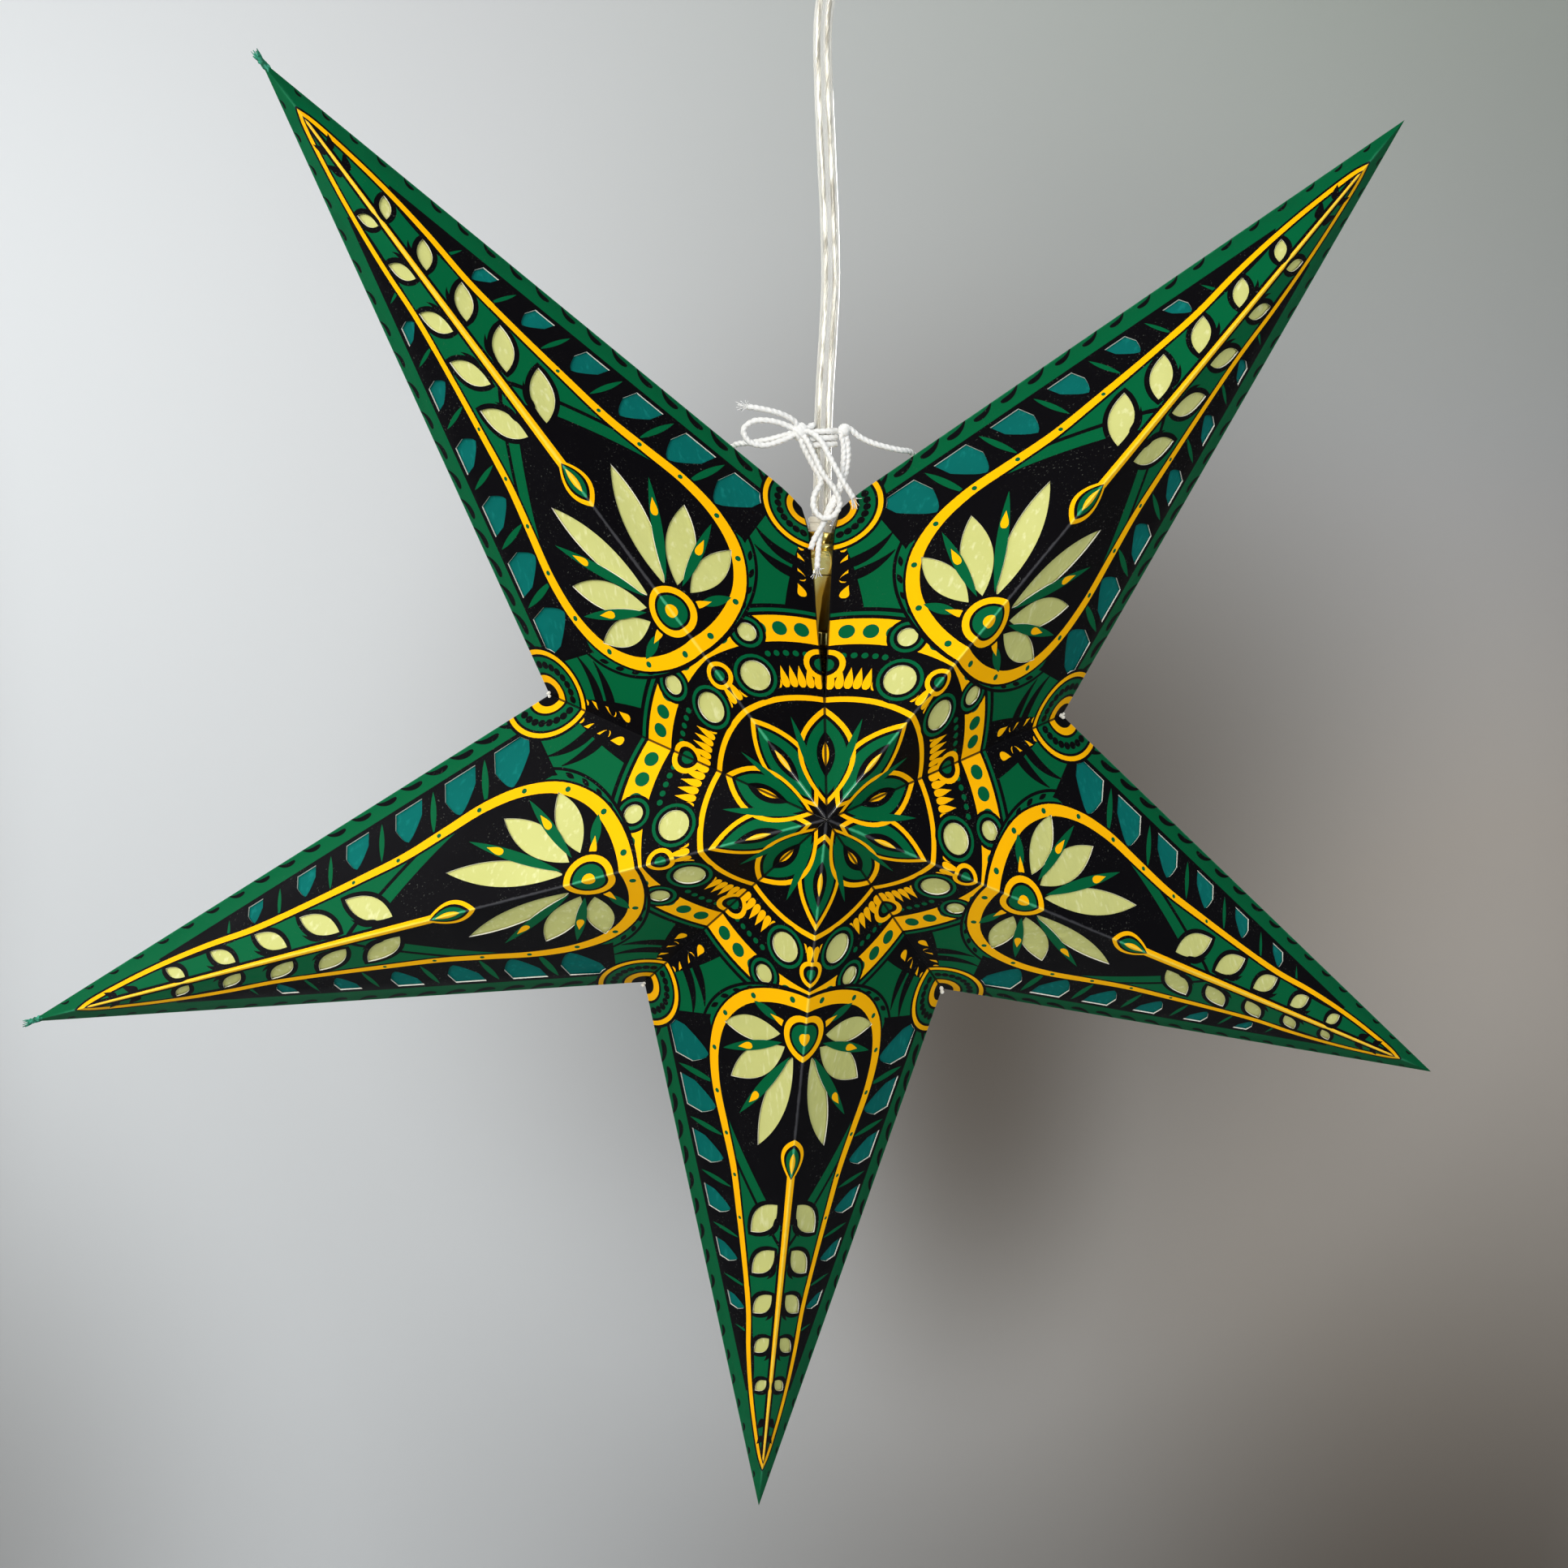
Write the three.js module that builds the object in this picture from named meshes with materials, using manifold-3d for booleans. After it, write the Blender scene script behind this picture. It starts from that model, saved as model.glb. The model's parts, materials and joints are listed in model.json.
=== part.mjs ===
import * as THREE from 'three';
import { mergeVertices } from 'three/addons/utils/BufferGeometryUtils.js';
import Module from 'manifold-3d';

// A paper star lantern for the ceiling: a five-armed star of printed card with cut windows backed by
// thin translucent paper, tied round its cord by cotton strings, with a small screw-in lamp inside.
// Millimetres, +Z up, the origin on the ceiling. The star's printed front looks along -Y.

const wasm = await Module();
wasm.setup();

// Driving sizes of the star
const starReach = 300;              // centre to the tip of an arm
const notchReach = 99;              // centre to the notch between two arms
const starHalfDepth = 70;           // centre plane to the peak where the ridges meet
const cardThickness = 0.5;
const paperThickness = 0.2;
const clearance = 0.3;              // between pieces that touch
const slitHalfGap = 5;              // half the open valley at the top notch
const slitFootReach = 35;           // where the open valley closes, from the centre
const glueTabDepth = 10;
const glueTabStart = 12;            // from the peak, along the valley

// How the five arms of this star hang, in turn from the upper left one round to the upper right one
const armNames = ['upper_left', 'left', 'bottom', 'right', 'upper_right'];
const tipLeanDegrees = [1.2, 0.6, -0.7, -4.4, -0.3];
const tipExtraReach = [2, -0.5, 1.5, -5, 5.5];
const tipSetBack = [-3, 0, -7, 16, -16];

// Where the star hangs under the ceiling
const starDrop = 362;               // ceiling to the star's centre

// Windows of one facet, in millimetres along the ridge from the centre and out from the ridge
const windowEdge = 4;               // card kept between a window and a fold
const petalRoot = 84;               // the flower of three petals on each side of the ridge
const petalAngles = [15, 44, 75];
const petalStart = 9;
const petalLengths = [46, 33, 26];
const petalHalfWidths = [4.8, 5.4, 4.8];
const leafCount = 5;                // leaves in pairs along the ridge towards the tip
const firstLeafAlong = 158;
const leafPitch = 21;
const firstLeafLength = 22;
const lastLeafLength = 10;
const leafAngle = 30;
const leafSlimness = 0.19;          // half width over length
const leafStemGap = 5;              // ridge to the root of a leaf
const archCount = 6;                // leaning pointed arches in a row along the outer fold
const archRowInset = 9;             // outer fold to the feet of the arches
const firstArchAlong = 20;          // from the notch, along the outer fold
const archPitch = 22;
const firstArchHeight = 17.5;
const lastArchHeight = 7.5;
const archLean = 0.35;              // towards the arm's tip, over height
const archSlimness = 0.42;          // half width over height
const archShoulderShare = 0.45;     // height of an arch's widest place
const moonPlaces = [[52, 12], [66, 20]];
const moonRadii = [5.5, 3.5];
const curveSteps = 3;

// The papers behind the windows, by the corners of their outlines on one facet
const frontPaperOutline = [
  [42, 0], [46, 24], [84, 40], [100, 39], [121, 33], [150, 24], [183, 18], [221, 12.3], [235, 11],
  [262, 9], [268, 0],
];
const sidePaperInset = 31;          // outer fold to the paper's inner edge, at the notch end
const sidePaperTipInset = 20;
const sidePaperStart = 10;          // from the notch, along the outer fold
const sidePaperEnd = 142;
const paperSpacing = 0.6;           // least room between two papers side by side

// Holes for the tie strings, in the back panels of the two upper arms
const stringRadius = 0.9;
const stringHoleRadius = 1.7;
const stringHoleAlong = 34;         // from the notch, along the outer fold
const stringHoleInset = 6;
const stopperRadius = 1.7;

// Lamp holder and bulb, in heights above the star's centre
const cordHalfWidth = 2.8;
const cordHalfDepth = 1.4;
const waistDepth = 0.5;
const coreArcDegrees = [-100, -50, 0, 50, 100];
const neckTop = 96;
const neckBottom = 91;
const neckRadius = 4.2;
const neckGroove = 0.5;
const shoulderRadius = 6;
const shoulderHeight = 3;
const collarRadius = 5.2;
const collarHeight = 1.1;
const beadRadius = 7.6;
const beadHeight = 2;
const domeTop = 84.2;
const domeTopRadius = 8.8;
const domeBottom = 76;
const holderRadius = 14;
const holderWall = 0.8;
const holderBottom = 36;
const ringTop = 56;
const ringHeight = 5;
const ringRadius = 16;
const ringGrooves = 10;
const ringGrooveDepth = 0.5;
const threadDepth = 0.9;            // the holder is this much slimmer below its ring
const coreTop = 72;
const coreFloor = 62;
const coreBoreRadius = 7.6;
const wireHoleRadius = 3;
const tongueWidth = 4;
const tongueLength = 11;
const tongueThickness = 0.6;
const tipRadius = 3;
const tipHeight = 2.2;
const capRadius = 6.9;
const capShoulderRadius = 4.2;
const capShoulderHeight = 2.4;
const capThreadPitch = 2.8;
const capThreadDepth = 0.45;
const capWall = 0.5;
const bulbRadius = 22.5;
const bulbCentre = -6;
const bulbNeckRadius = 8.4;
const bulbNeckHeight = 7;
const glassWall = 0.9;

// Ceiling rose, in depths below the ceiling
const roseRadius = 40;
const roseWall = 1.8;
const roseDepth = 46;
const roseCollar = 18;              // straight part of the cover's rim
const roseShoulderRadius = 27;
const roseShoulderDepth = 33;
const baseHeight = 6;
const baseRecess = 3;
const baseRim = 5;
const wireEntryRadius = 5;
const wireEntryBack = 20;
const screwOffset = 24;
const screwHoleRadius = 2.2;
const screwShankRadius = 1.8;
const screwHeadRadius = 3.8;
const screwHeadHeight = 2.6;
const screwSlotWidth = 1;
const screwSlotDepth = 1.2;
const blockWidth = 22;
const blockDepth = 12;
const blockHeight = 13;
const blockScrewRadius = 2;
const blockScrewDepth = 3;
const gripRadius = 6.5;
const gripNose = 8;                 // how far the cord grip stands out under the cover
const gripNoseRadius = 4.6;
const gripFlange = 2.5;
const gripFlangeRadius = 11;

// Routes of the cords, chosen by hand: the lamp cord from the holder up to the rose
const cordRoute = [
  [0, 0, -265.7], [0, 0, -255], [-0.7, 0, -240], [-1, 0.2, -222], [-0.8, 0.8, -204], [-1, 0.6, -185],
  [-2.6, 0.2, -165], [-5, -0.4, -143], [-7.3, -0.9, -121], [-8.4, -1, -103], [-7, -0.7, -90],
  [-3.7, -0.3, -78], [-0.8, 0, -68], [0, 0, -61], [0, 0, -54.3],
];

// The tie strings, counted from the star's centre
const knotPlace = [-9.3, -3.5, 125];
const knotSize = [2.7, 2.4, 2.9];
const stringRoutes = {
  left_string: [
    [-36.9, 1.3, 113.7], [-36.1, 2.8, 114.8], [-35.1, 4.8, 116.2], [-33.4, 4.9, 118.4], [-30.8, 2.2, 119.9],
    [-27, -0.6, 120.4], [-21, -1.2, 121.6], [-15.6, -1.6, 123.2], [-12.2, -2.4, 124.4], [-9.3, -3.5, 125],
  ],
  bow_loop_side: [
    [-9.3, -3.5, 125], [-12.6, -3.9, 126.3], [-19, -5, 127.9], [-26, -5.8, 127.5], [-29.4, -6, 124.4],
    [-27.4, -5.8, 120.6], [-22, -5.4, 119.5], [-16, -4.8, 121.4], [-12.2, -4.5, 123.3], [-9.3, -3.5, 125],
  ],
  bow_end_side: [
    [-9.3, -3.5, 125], [-11.4, -4.9, 128.2], [-17, -6.5, 130.6], [-23, -7.6, 131.6], [-28.5, -8, 132.2],
  ],
  bow_loop_down: [
    [-9.3, -3.5, 125], [-7.1, -5.5, 122.4], [-4.2, -7.4, 117], [-1, -8.6, 111], [3.6, -9, 105.5],
    [5.6, -9, 100.5], [3.4, -9, 96.4], [-0.2, -8.9, 95.6], [-3.3, -8.4, 98.6], [-3.5, -7.2, 103],
    [-1.2, -5.8, 108.5], [-4.4, -5, 114], [-8.4, -4.4, 121], [-9.3, -3.5, 125],
  ],
  bow_end_down: [
    [-9.3, -3.5, 125], [-6.4, -5.4, 125.2], [-2.6, -8.9, 122.4], [1.2, -11.6, 116], [5.6, -12.4, 109],
    [9.9, -12, 103],
  ],
  right_string: [
    [36.5, -0.9, 114.6], [35.8, 0.7, 115.7], [34.9, 2.6, 117.1], [33.2, 3.1, 119.2], [30.8, 1, 120.6],
    [27.4, -1.6, 120.7], [22, -2.8, 121.4], [16.6, -3.2, 122.6], [12, -3.4, 124.4], [8.8, -4, 126.6],
    [6.6, -4.8, 127.4], [5.4, -4.9, 124.8], [6.4, -4.2, 121], [6.6, -3.8, 114], [5.4, -3.8, 106],
    [2.4, -4.6, 99.5], [0.4, -6.4, 93.5], [-0.8, -8.7, 88.5], [-1.5, -12.7, 82.8], [-1.8, -15.8, 78],
  ],
};
const wrapTurns = 2;
const wrapPitch = 2.3;
const wrapBottom = 122.9;
const wrapAside = -0.8;             // the cord's own place at that height
const wrapSlack = 0.45;
const wrapStartDegrees = 215;

const roundSteps = 20;
const windingStepsPerTurn = 24;
const windingSides = 6;
const stringSides = 8;
const stringStep = 3.6;
const cutOver = 1.5;                // how far a cutter runs past what it cuts
const mergeDistance = 0.02;         // corners nearer than this are one corner

const inks = {
  card: { color: 0x00733f, roughness: 0.55, metalness: 0 },
  palePaper: { color: 0xcfd084, roughness: 0.8, metalness: 0 },
  tealPaper: { color: 0x007f78, roughness: 0.8, metalness: 0 },
  cotton: { color: 0xf2f0ea, roughness: 0.9, metalness: 0 },
  clearCord: { color: 0xe6e2cf, roughness: 0.2, metalness: 0.1 },
  goldFinish: { color: 0xd9b24a, roughness: 0.15, metalness: 1 },
  whitePlastic: { color: 0xf0efe9, roughness: 0.4, metalness: 0 },
  brass: { color: 0xc8a24c, roughness: 0.3, metalness: 1 },
  steel: { color: 0xb9bcc0, roughness: 0.3, metalness: 1 },
  opalGlass: { color: 0xf6f3ea, roughness: 0.15, metalness: 0 },
};

const radians = THREE.MathUtils.degToRad;
const vector = (x, y, z) => new THREE.Vector3(x, y, z);
const plus = (a, b, share = 1) => a.clone().addScaledVector(b, share);
const minus = (a, b) => a.clone().sub(b);

// Solids: a closed geometry becomes a solid for joining and cutting, and comes back as one
function solidOf(geometry) {
  const bare = geometry.clone();
  bare.deleteAttribute('normal');
  bare.deleteAttribute('uv');
  const merged = mergeVertices(bare);
  return new wasm.Manifold(new wasm.Mesh({
    numProp: 3,
    vertProperties: Float32Array.from(merged.attributes.position.array),
    triVerts: Uint32Array.from(merged.index.array),
  }));
}

function geometryOf(solid) {
  const mesh = solid.asOriginal().simplify(mergeDistance).getMesh();
  const geometry = new THREE.BufferGeometry();
  geometry.setAttribute('position', new THREE.BufferAttribute(Float32Array.from(mesh.vertProperties), 3));
  geometry.setIndex(Array.from(mesh.triVerts));
  return geometry;
}

function polyhedron(points, faces) {
  const geometry = new THREE.BufferGeometry();
  const corners = points.flatMap((point) => [point.x, point.y, point.z]);
  geometry.setAttribute('position', new THREE.Float32BufferAttribute(corners, 3));
  geometry.setIndex(faces.flat());
  return solidOf(geometry);
}

function placedPrism(shape, depth, origin, sideways, upwards) {
  const normal = sideways.clone().cross(upwards).normalize();
  const geometry = new THREE.ExtrudeGeometry(shape, { depth, bevelEnabled: false, curveSegments: curveSteps });
  const matrix = new THREE.Matrix4().makeBasis(sideways, upwards, normal).setPosition(origin);
  return solidOf(geometry.applyMatrix4(matrix));
}

// Star outline: seams lie between neighbouring arms, and the top notch is the open valley
const slitHalfAngle = Math.asin(slitHalfGap / notchReach);
const armAngle = (2 * Math.PI - 2 * slitHalfAngle) / armNames.length;
const firstSeam = Math.PI / 2 + slitHalfAngle;
const onStar = (angle, reach, back = 0) => vector(reach * Math.cos(angle), back, reach * Math.sin(angle));
const ridgeLength = Math.hypot(starReach, starHalfDepth);
const valleyLength = Math.hypot(notchReach, starHalfDepth);
const outerFoldLength = Math.sqrt(
  starReach ** 2 + notchReach ** 2 - 2 * starReach * notchReach * Math.cos(armAngle / 2));
const notchAlong = (ridgeLength ** 2 + valleyLength ** 2 - outerFoldLength ** 2) / (2 * ridgeLength);
const notchOut = Math.sqrt(valleyLength ** 2 - notchAlong ** 2);

// One arm: its five corners, its four facets and the short way in from its outer faces
function armFrame(index) {
  const startSeam = firstSeam + index * armAngle;
  const endSeam = startSeam + armAngle;
  const middle = startSeam + armAngle / 2;
  const axis = onStar(middle, 1);
  const seamBack = clearance / 2 / Math.sin(armAngle / 2);
  const shifted = (point) => plus(point, axis, seamBack);
  const tip = onStar(middle + radians(tipLeanDegrees[index]), starReach + tipExtraReach[index], tipSetBack[index]);
  const peaks = { front: shifted(vector(0, -starHalfDepth, 0)), back: shifted(vector(0, starHalfDepth, 0)) };
  const notches = { a: shifted(onStar(startSeam, notchReach)), b: shifted(onStar(endSeam, notchReach)) };
  const openSide = { a: index === 0, b: index === armNames.length - 1 };
  const facets = [];
  for (const face of ['front', 'back']) {
    for (const side of ['a', 'b']) {
      facets.push(facetFrame(tip, peaks[face], notches[side], face, side));
    }
  }
  return { index, name: armNames[index], axis, tip, peaks, notches, openSide, facets, wayIn: wayInOf(facets, axis) };
}

// One facet: places on it are given along the ridge from the peak and out from the ridge
function facetFrame(tip, peak, notch, face, side) {
  const along = minus(tip, peak).divideScalar(ridgeLength);
  const out = plus(minus(notch, peak), along, -notchAlong).divideScalar(notchOut);
  const place = (u, v) => plus(plus(peak, along, u), out, v);
  const normal = along.clone().cross(out).normalize();
  const outward = normal.y * (face === 'front' ? -1 : 1) > 0 ? normal : normal.clone().negate();
  return { face, side, tip, peak, notch, along, out, place, normal, outward };
}

// The vector that moves all four facets one millimetre inwards, by least squares
function wayInOf(facets, axis) {
  const sums = new THREE.Matrix3().set(0, 0, 0, 0, 0, 0, 0, 0, 0);
  const right = vector(0, 0, 0);
  for (const { outward: n } of facets) {
    const parts = [n.x, n.y, n.z];
    for (let row = 0; row < 3; row += 1) {
      for (let column = 0; column < 3; column += 1) {
        sums.elements[column * 3 + row] += parts[row] * parts[column];
      }
    }
    right.sub(n);
  }
  return right.applyMatrix3(sums.invert());
}

// Where the open valley closes, on an arm's front or back
function slitFoot(arm, face, side) {
  const peak = arm.peaks[face];
  const aside = side === 'a' ? -clearance / 2 : clearance / 2;
  return vector(aside, peak.y * (1 - slitFootReach / notchReach), slitFootReach);
}

// The solid arm, closed at the seams; the open valley's edge bends where the valley closes
function armBody(arm, depthIn) {
  const shift = arm.wayIn.clone().multiplyScalar(depthIn);
  const points = [arm.tip, arm.peaks.front, arm.peaks.back, arm.notches.a, arm.notches.b];
  const [tip, front, back, a, b] = [0, 1, 2, 3, 4];
  const faces = [];
  for (const side of ['a', 'b']) {
    const notch = side === 'a' ? a : b;
    const turn = side === 'b' ? (face) => face : (face) => [face[0], face[2], face[1]];
    if (arm.openSide[side]) {
      const frontFoot = points.push(slitFoot(arm, 'front', side)) - 1;
      const backFoot = points.push(slitFoot(arm, 'back', side)) - 1;
      const own = [
        [tip, notch, front], [notch, frontFoot, front], [tip, back, notch], [notch, back, backFoot],
        [notch, backFoot, frontFoot], [backFoot, back, frontFoot], [back, front, frontFoot],
      ];
      faces.push(...own.map(turn));
    } else {
      const own = [[tip, notch, front], [tip, back, notch], [notch, back, front]];
      faces.push(...own.map(turn));
    }
  }
  return polyhedron(points.map((point) => plus(point, shift)), faces);
}

// Window outlines, each a flat shape on its facet
function leafShape(root, angleDegrees, length, halfWidth) {
  const angle = radians(angleDegrees);
  const at = (s, t) => [
    root[0] + s * Math.cos(angle) - t * Math.sin(angle),
    root[1] + s * Math.sin(angle) + t * Math.cos(angle),
  ];
  const shape = new THREE.Shape();
  shape.moveTo(...at(0, 0));
  shape.quadraticCurveTo(...at(length / 2, -2 * halfWidth), ...at(length, 0));
  shape.quadraticCurveTo(...at(length / 2, 2 * halfWidth), ...at(0, 0));
  return shape;
}

function moonShape(centre, radius) {
  const shape = new THREE.Shape();
  shape.absarc(centre[0], centre[1], radius, 0, 2 * Math.PI);
  return shape;
}

// Points on a facet counted from its notch along the outer fold and inwards from it
function onOuterFold(along, inwards) {
  const foldAlong = (ridgeLength - notchAlong) / outerFoldLength;
  const foldOut = -notchOut / outerFoldLength;
  return [
    notchAlong + along * foldAlong + inwards * foldOut,
    notchOut + along * foldOut - inwards * foldAlong,
  ];
}

function archShape(along, height) {
  const halfWidth = height * archSlimness;
  const shoulder = height * archShoulderShare;
  const at = (s, t) => onOuterFold(along + s + archLean * t, archRowInset + t);
  const shape = new THREE.Shape();
  shape.moveTo(...at(-halfWidth, 0));
  shape.lineTo(...at(halfWidth, 0));
  shape.lineTo(...at(halfWidth, shoulder));
  shape.lineTo(...at(0, height));
  shape.lineTo(...at(-halfWidth, shoulder));
  return shape;
}

function facetWindows() {
  const shapes = [];
  petalAngles.forEach((angle, i) => {
    const root = [
      petalRoot + petalStart * Math.cos(radians(angle)),
      petalStart * Math.sin(radians(angle)) + windowEdge / 2,
    ];
    shapes.push(leafShape(root, angle, petalLengths[i], petalHalfWidths[i]));
  });
  for (let i = 0; i < leafCount; i += 1) {
    const length = THREE.MathUtils.lerp(firstLeafLength, lastLeafLength, i / (leafCount - 1));
    const root = [firstLeafAlong + i * leafPitch, leafStemGap * (length / firstLeafLength)];
    shapes.push(leafShape(root, leafAngle, length, length * leafSlimness));
  }
  for (let i = 0; i < archCount; i += 1) {
    const height = THREE.MathUtils.lerp(firstArchHeight, lastArchHeight, i / (archCount - 1));
    shapes.push(archShape(firstArchAlong + i * archPitch, height));
  }
  moonPlaces.forEach((place, i) => shapes.push(moonShape(place, moonRadii[i])));
  return shapes;
}

function throughFacet(facet, shape) {
  const start = plus(facet.peak, facet.normal, -cutOver - cardThickness / 2);
  return placedPrism(shape, 2 * cutOver + cardThickness, start, facet.along, facet.out);
}

// Glue tabs: strips folded in along a valley, inside the arm, against the neighbour's. On the open
// valley they join only its closed foot
function glueTab(arm, facet) {
  const inward = facet.face === 'front' ? 1 : -1;
  const open = arm.openSide[facet.side];
  const end = open ? slitFoot(arm, facet.face, facet.side) : facet.notch;
  const valley = minus(end, facet.peak).normalize();
  const depthWay = plus(vector(0, inward, 0), valley, -valley.y * inward).normalize();
  const slope = Math.atan2(starHalfDepth, notchReach);
  const closedLength = valleyLength * slitFootReach / notchReach;
  const tabEnd = open ? closedLength : valleyLength - glueTabDepth / Math.tan(slope) - 2 * clearance;
  const corner = glueTabDepth / 2;
  const shape = new THREE.Shape();
  shape.moveTo(glueTabStart, 0);
  shape.lineTo(tabEnd, 0);
  shape.lineTo(tabEnd - corner, glueTabDepth);
  shape.lineTo(glueTabStart + corner, glueTabDepth);
  const prism = placedPrism(shape, cardThickness, facet.peak, valley, depthWay);
  const normal = valley.clone().cross(depthWay);
  const towardsArm = normal.dot(arm.axis) > 0;
  return towardsArm ? prism : prism.translate(normal.multiplyScalar(-cardThickness).toArray());
}

function stringHole() {
  const centre = onOuterFold(stringHoleAlong, stringHoleInset);
  return moonShape(centre, stringHoleRadius);
}

function cardShell(arm) {
  let shell = armBody(arm, 0).subtract(armBody(arm, cardThickness));
  for (const facet of arm.facets) {
    shell = shell.add(glueTab(arm, facet));
  }
  const cutters = [];
  for (const facet of arm.facets) {
    facetWindows().forEach((shape) => cutters.push(throughFacet(facet, shape)));
    if (facet.face === 'back' && arm.openSide[facet.side]) {
      cutters.push(throughFacet(facet, stringHole()));
    }
  }
  for (const cutter of cutters) {
    shell = shell.subtract(cutter);
  }
  return shell;
}

// Window papers lie just behind the card, each one sheet folded with it
function paperLayer(arm) {
  const near = cardThickness + clearance;
  return armBody(arm, near).subtract(armBody(arm, near + paperThickness));
}

// A straight slice of the arm, seen from the front; middle planes lean with the arm's tip
function flatRegion(arm, corners, fromBack, toBack) {
  const shape = new THREE.Shape(corners.map((corner) => new THREE.Vector2(corner.x, corner.z)));
  const notchAt = arm.notches.a.dot(arm.axis);
  const lean = arm.tip.y / (starReach - notchAt);
  const geometry = new THREE.ExtrudeGeometry(shape, { depth: toBack - fromBack, bevelEnabled: false });
  const sideways = vector(1, lean * arm.axis.x, 0);
  const upwards = vector(0, lean * arm.axis.z, 1);
  const matrix = new THREE.Matrix4().makeBasis(sideways, upwards, vector(0, -1, 0));
  return solidOf(geometry.applyMatrix4(matrix.setPosition(0, toBack - lean * notchAt, 0)));
}

function ridgePaper(arm, layer, face) {
  const own = arm.facets.filter((facet) => facet.face === face);
  const outline = frontPaperOutline.map(([u, v]) => own[0].place(u, v));
  const mirrored = frontPaperOutline.slice(1, -1).reverse().map(([u, v]) => own[1].place(u, v));
  const range = face === 'front' ? [-2 * starHalfDepth, 0] : [0, 2 * starHalfDepth];
  return layer.intersect(flatRegion(arm, [...outline, ...mirrored], range[0], range[1]));
}

function foldPaper(arm, layer, side) {
  const facet = arm.facets.find((own) => own.face === 'front' && own.side === side);
  const outline = [
    onOuterFold(sidePaperStart, sidePaperInset), onOuterFold(sidePaperEnd, sidePaperTipInset),
    onOuterFold(sidePaperEnd, -sidePaperInset), onOuterFold(sidePaperStart, -sidePaperInset),
  ].map(([u, v]) => facet.place(u, v));
  const ridgeRoom = frontPaperOutline.map(([u, v]) => facet.place(u, v + paperSpacing));
  const paper = layer.intersect(flatRegion(arm, outline, -starHalfDepth, starHalfDepth))
    .subtract(flatRegion(arm, ridgeRoom, -starHalfDepth, starHalfDepth));
  const back = arm.facets.find((own) => own.face === 'back' && own.side === side);
  return arm.openSide[side] ? paper.subtract(throughFacet(back, stringHole())) : paper;
}

// Turned pieces: the outline in [radius, height] pairs runs up the outside and closes on itself
function turned(outline, steps = roundSteps) {
  const closed = [...outline, outline[0]].map(([radius, height]) => new THREE.Vector2(radius, height));
  const geometry = new THREE.LatheGeometry(closed, steps);
  return solidOf(geometry.rotateX(Math.PI / 2));
}

function arc(count, fromDegrees, toDegrees, radius, centreHeight) {
  return Array.from({ length: count + 1 }, (_, i) => {
    const angle = radians(THREE.MathUtils.lerp(fromDegrees, toDegrees, i / count));
    return [radius * Math.cos(angle), centreHeight + radius * Math.sin(angle)];
  });
}

function bar(width, depth, height, x, y, z) {
  return solidOf(new THREE.BoxGeometry(width, depth, height).translate(x, y, z));
}

function rod(radius, from, to, x = 0, y = 0, steps = roundSteps / 2) {
  const outline = [[0, from], [radius, from], [radius, to], [0, to]];
  return turned(outline, steps).translate([x, y, 0]);
}

// Cords: a section swept along a smooth route
function cordAlong(points, section, steps) {
  const route = new THREE.CatmullRomCurve3(points.map((point) => vector(...point)));
  const count = steps ?? Math.ceil(route.getLength() / stringStep);
  const geometry = new THREE.ExtrudeGeometry(section, { extrudePath: route, steps: count, curveSegments: 1 });
  return solidOf(geometry);
}

function ringSection(halfAcross, halfUp, sides) {
  const corners = Array.from({ length: sides }, (_, i) => {
    const angle = (2 * Math.PI * (i + 1 / 2)) / sides;
    return new THREE.Vector2(halfAcross * Math.cos(angle), halfUp * Math.sin(angle));
  });
  return new THREE.Shape(corners);
}

function ellipsoid(sizes, place, grow = 0) {
  const [a, b, c] = sizes.map((size) => size + grow);
  const geometry = new THREE.SphereGeometry(1, roundSteps / 2, roundSteps / 2).scale(a, b, c);
  return solidOf(geometry.translate(...place));
}

// Adds a named piece to a group
function addPiece(parent, name, solid, ink) {
  const mesh = new THREE.Mesh(geometryOf(solid), new THREE.MeshStandardMaterial(inks[ink]));
  mesh.name = name;
  parent.add(mesh);
}

const lantern = new THREE.Group();
const starGroup = new THREE.Group();
starGroup.position.z = -starDrop;
lantern.add(starGroup);

// The star: five arms, each a card shell with its four window papers
const arms = armNames.map((name, index) => armFrame(index));
for (const arm of arms) {
  const layer = paperLayer(arm);
  addPiece(starGroup, `card_${arm.name}`, cardShell(arm), 'card');
  addPiece(starGroup, `pale_front_${arm.name}`, ridgePaper(arm, layer, 'front'), 'palePaper');
  addPiece(starGroup, `pale_back_${arm.name}`, ridgePaper(arm, layer, 'back'), 'palePaper');
  addPiece(starGroup, `teal_a_${arm.name}`, foldPaper(arm, layer, 'a'), 'tealPaper');
  addPiece(starGroup, `teal_b_${arm.name}`, foldPaper(arm, layer, 'b'), 'tealPaper');
}

// The tie: strings through the back panels, the turns round the cord, the knot and its bow
const knot = ellipsoid(knotSize, knotPlace);
const knotRoom = ellipsoid(knotSize, knotPlace, clearance);
addPiece(starGroup, 'bow_knot', knot, 'cotton');
const stringSection = ringSection(stringRadius, stringRadius, stringSides);
for (const [name, route] of Object.entries(stringRoutes)) {
  let cotton = cordAlong(route, stringSection).subtract(knotRoom);
  if (name === 'left_string' || name === 'right_string') {
    const stopper = [stopperRadius, stopperRadius, stopperRadius];
    cotton = cotton.add(ellipsoid(stopper, route[0]));
  }
  addPiece(starGroup, name, cotton, 'cotton');
}

// The least gap between one turn of a winding and the next, measured on points of its route
function leastOwnGap(route, diameter, stepsPerTurn) {
  const points = route.getPoints(route.points.length);
  let least = Infinity;
  points.forEach((point, i) => {
    for (let j = i + Math.floor(stepsPerTurn / 2); j < points.length; j += 1) {
      least = Math.min(least, point.distanceTo(points[j]) - diameter);
    }
  });
  return least;
}

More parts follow.
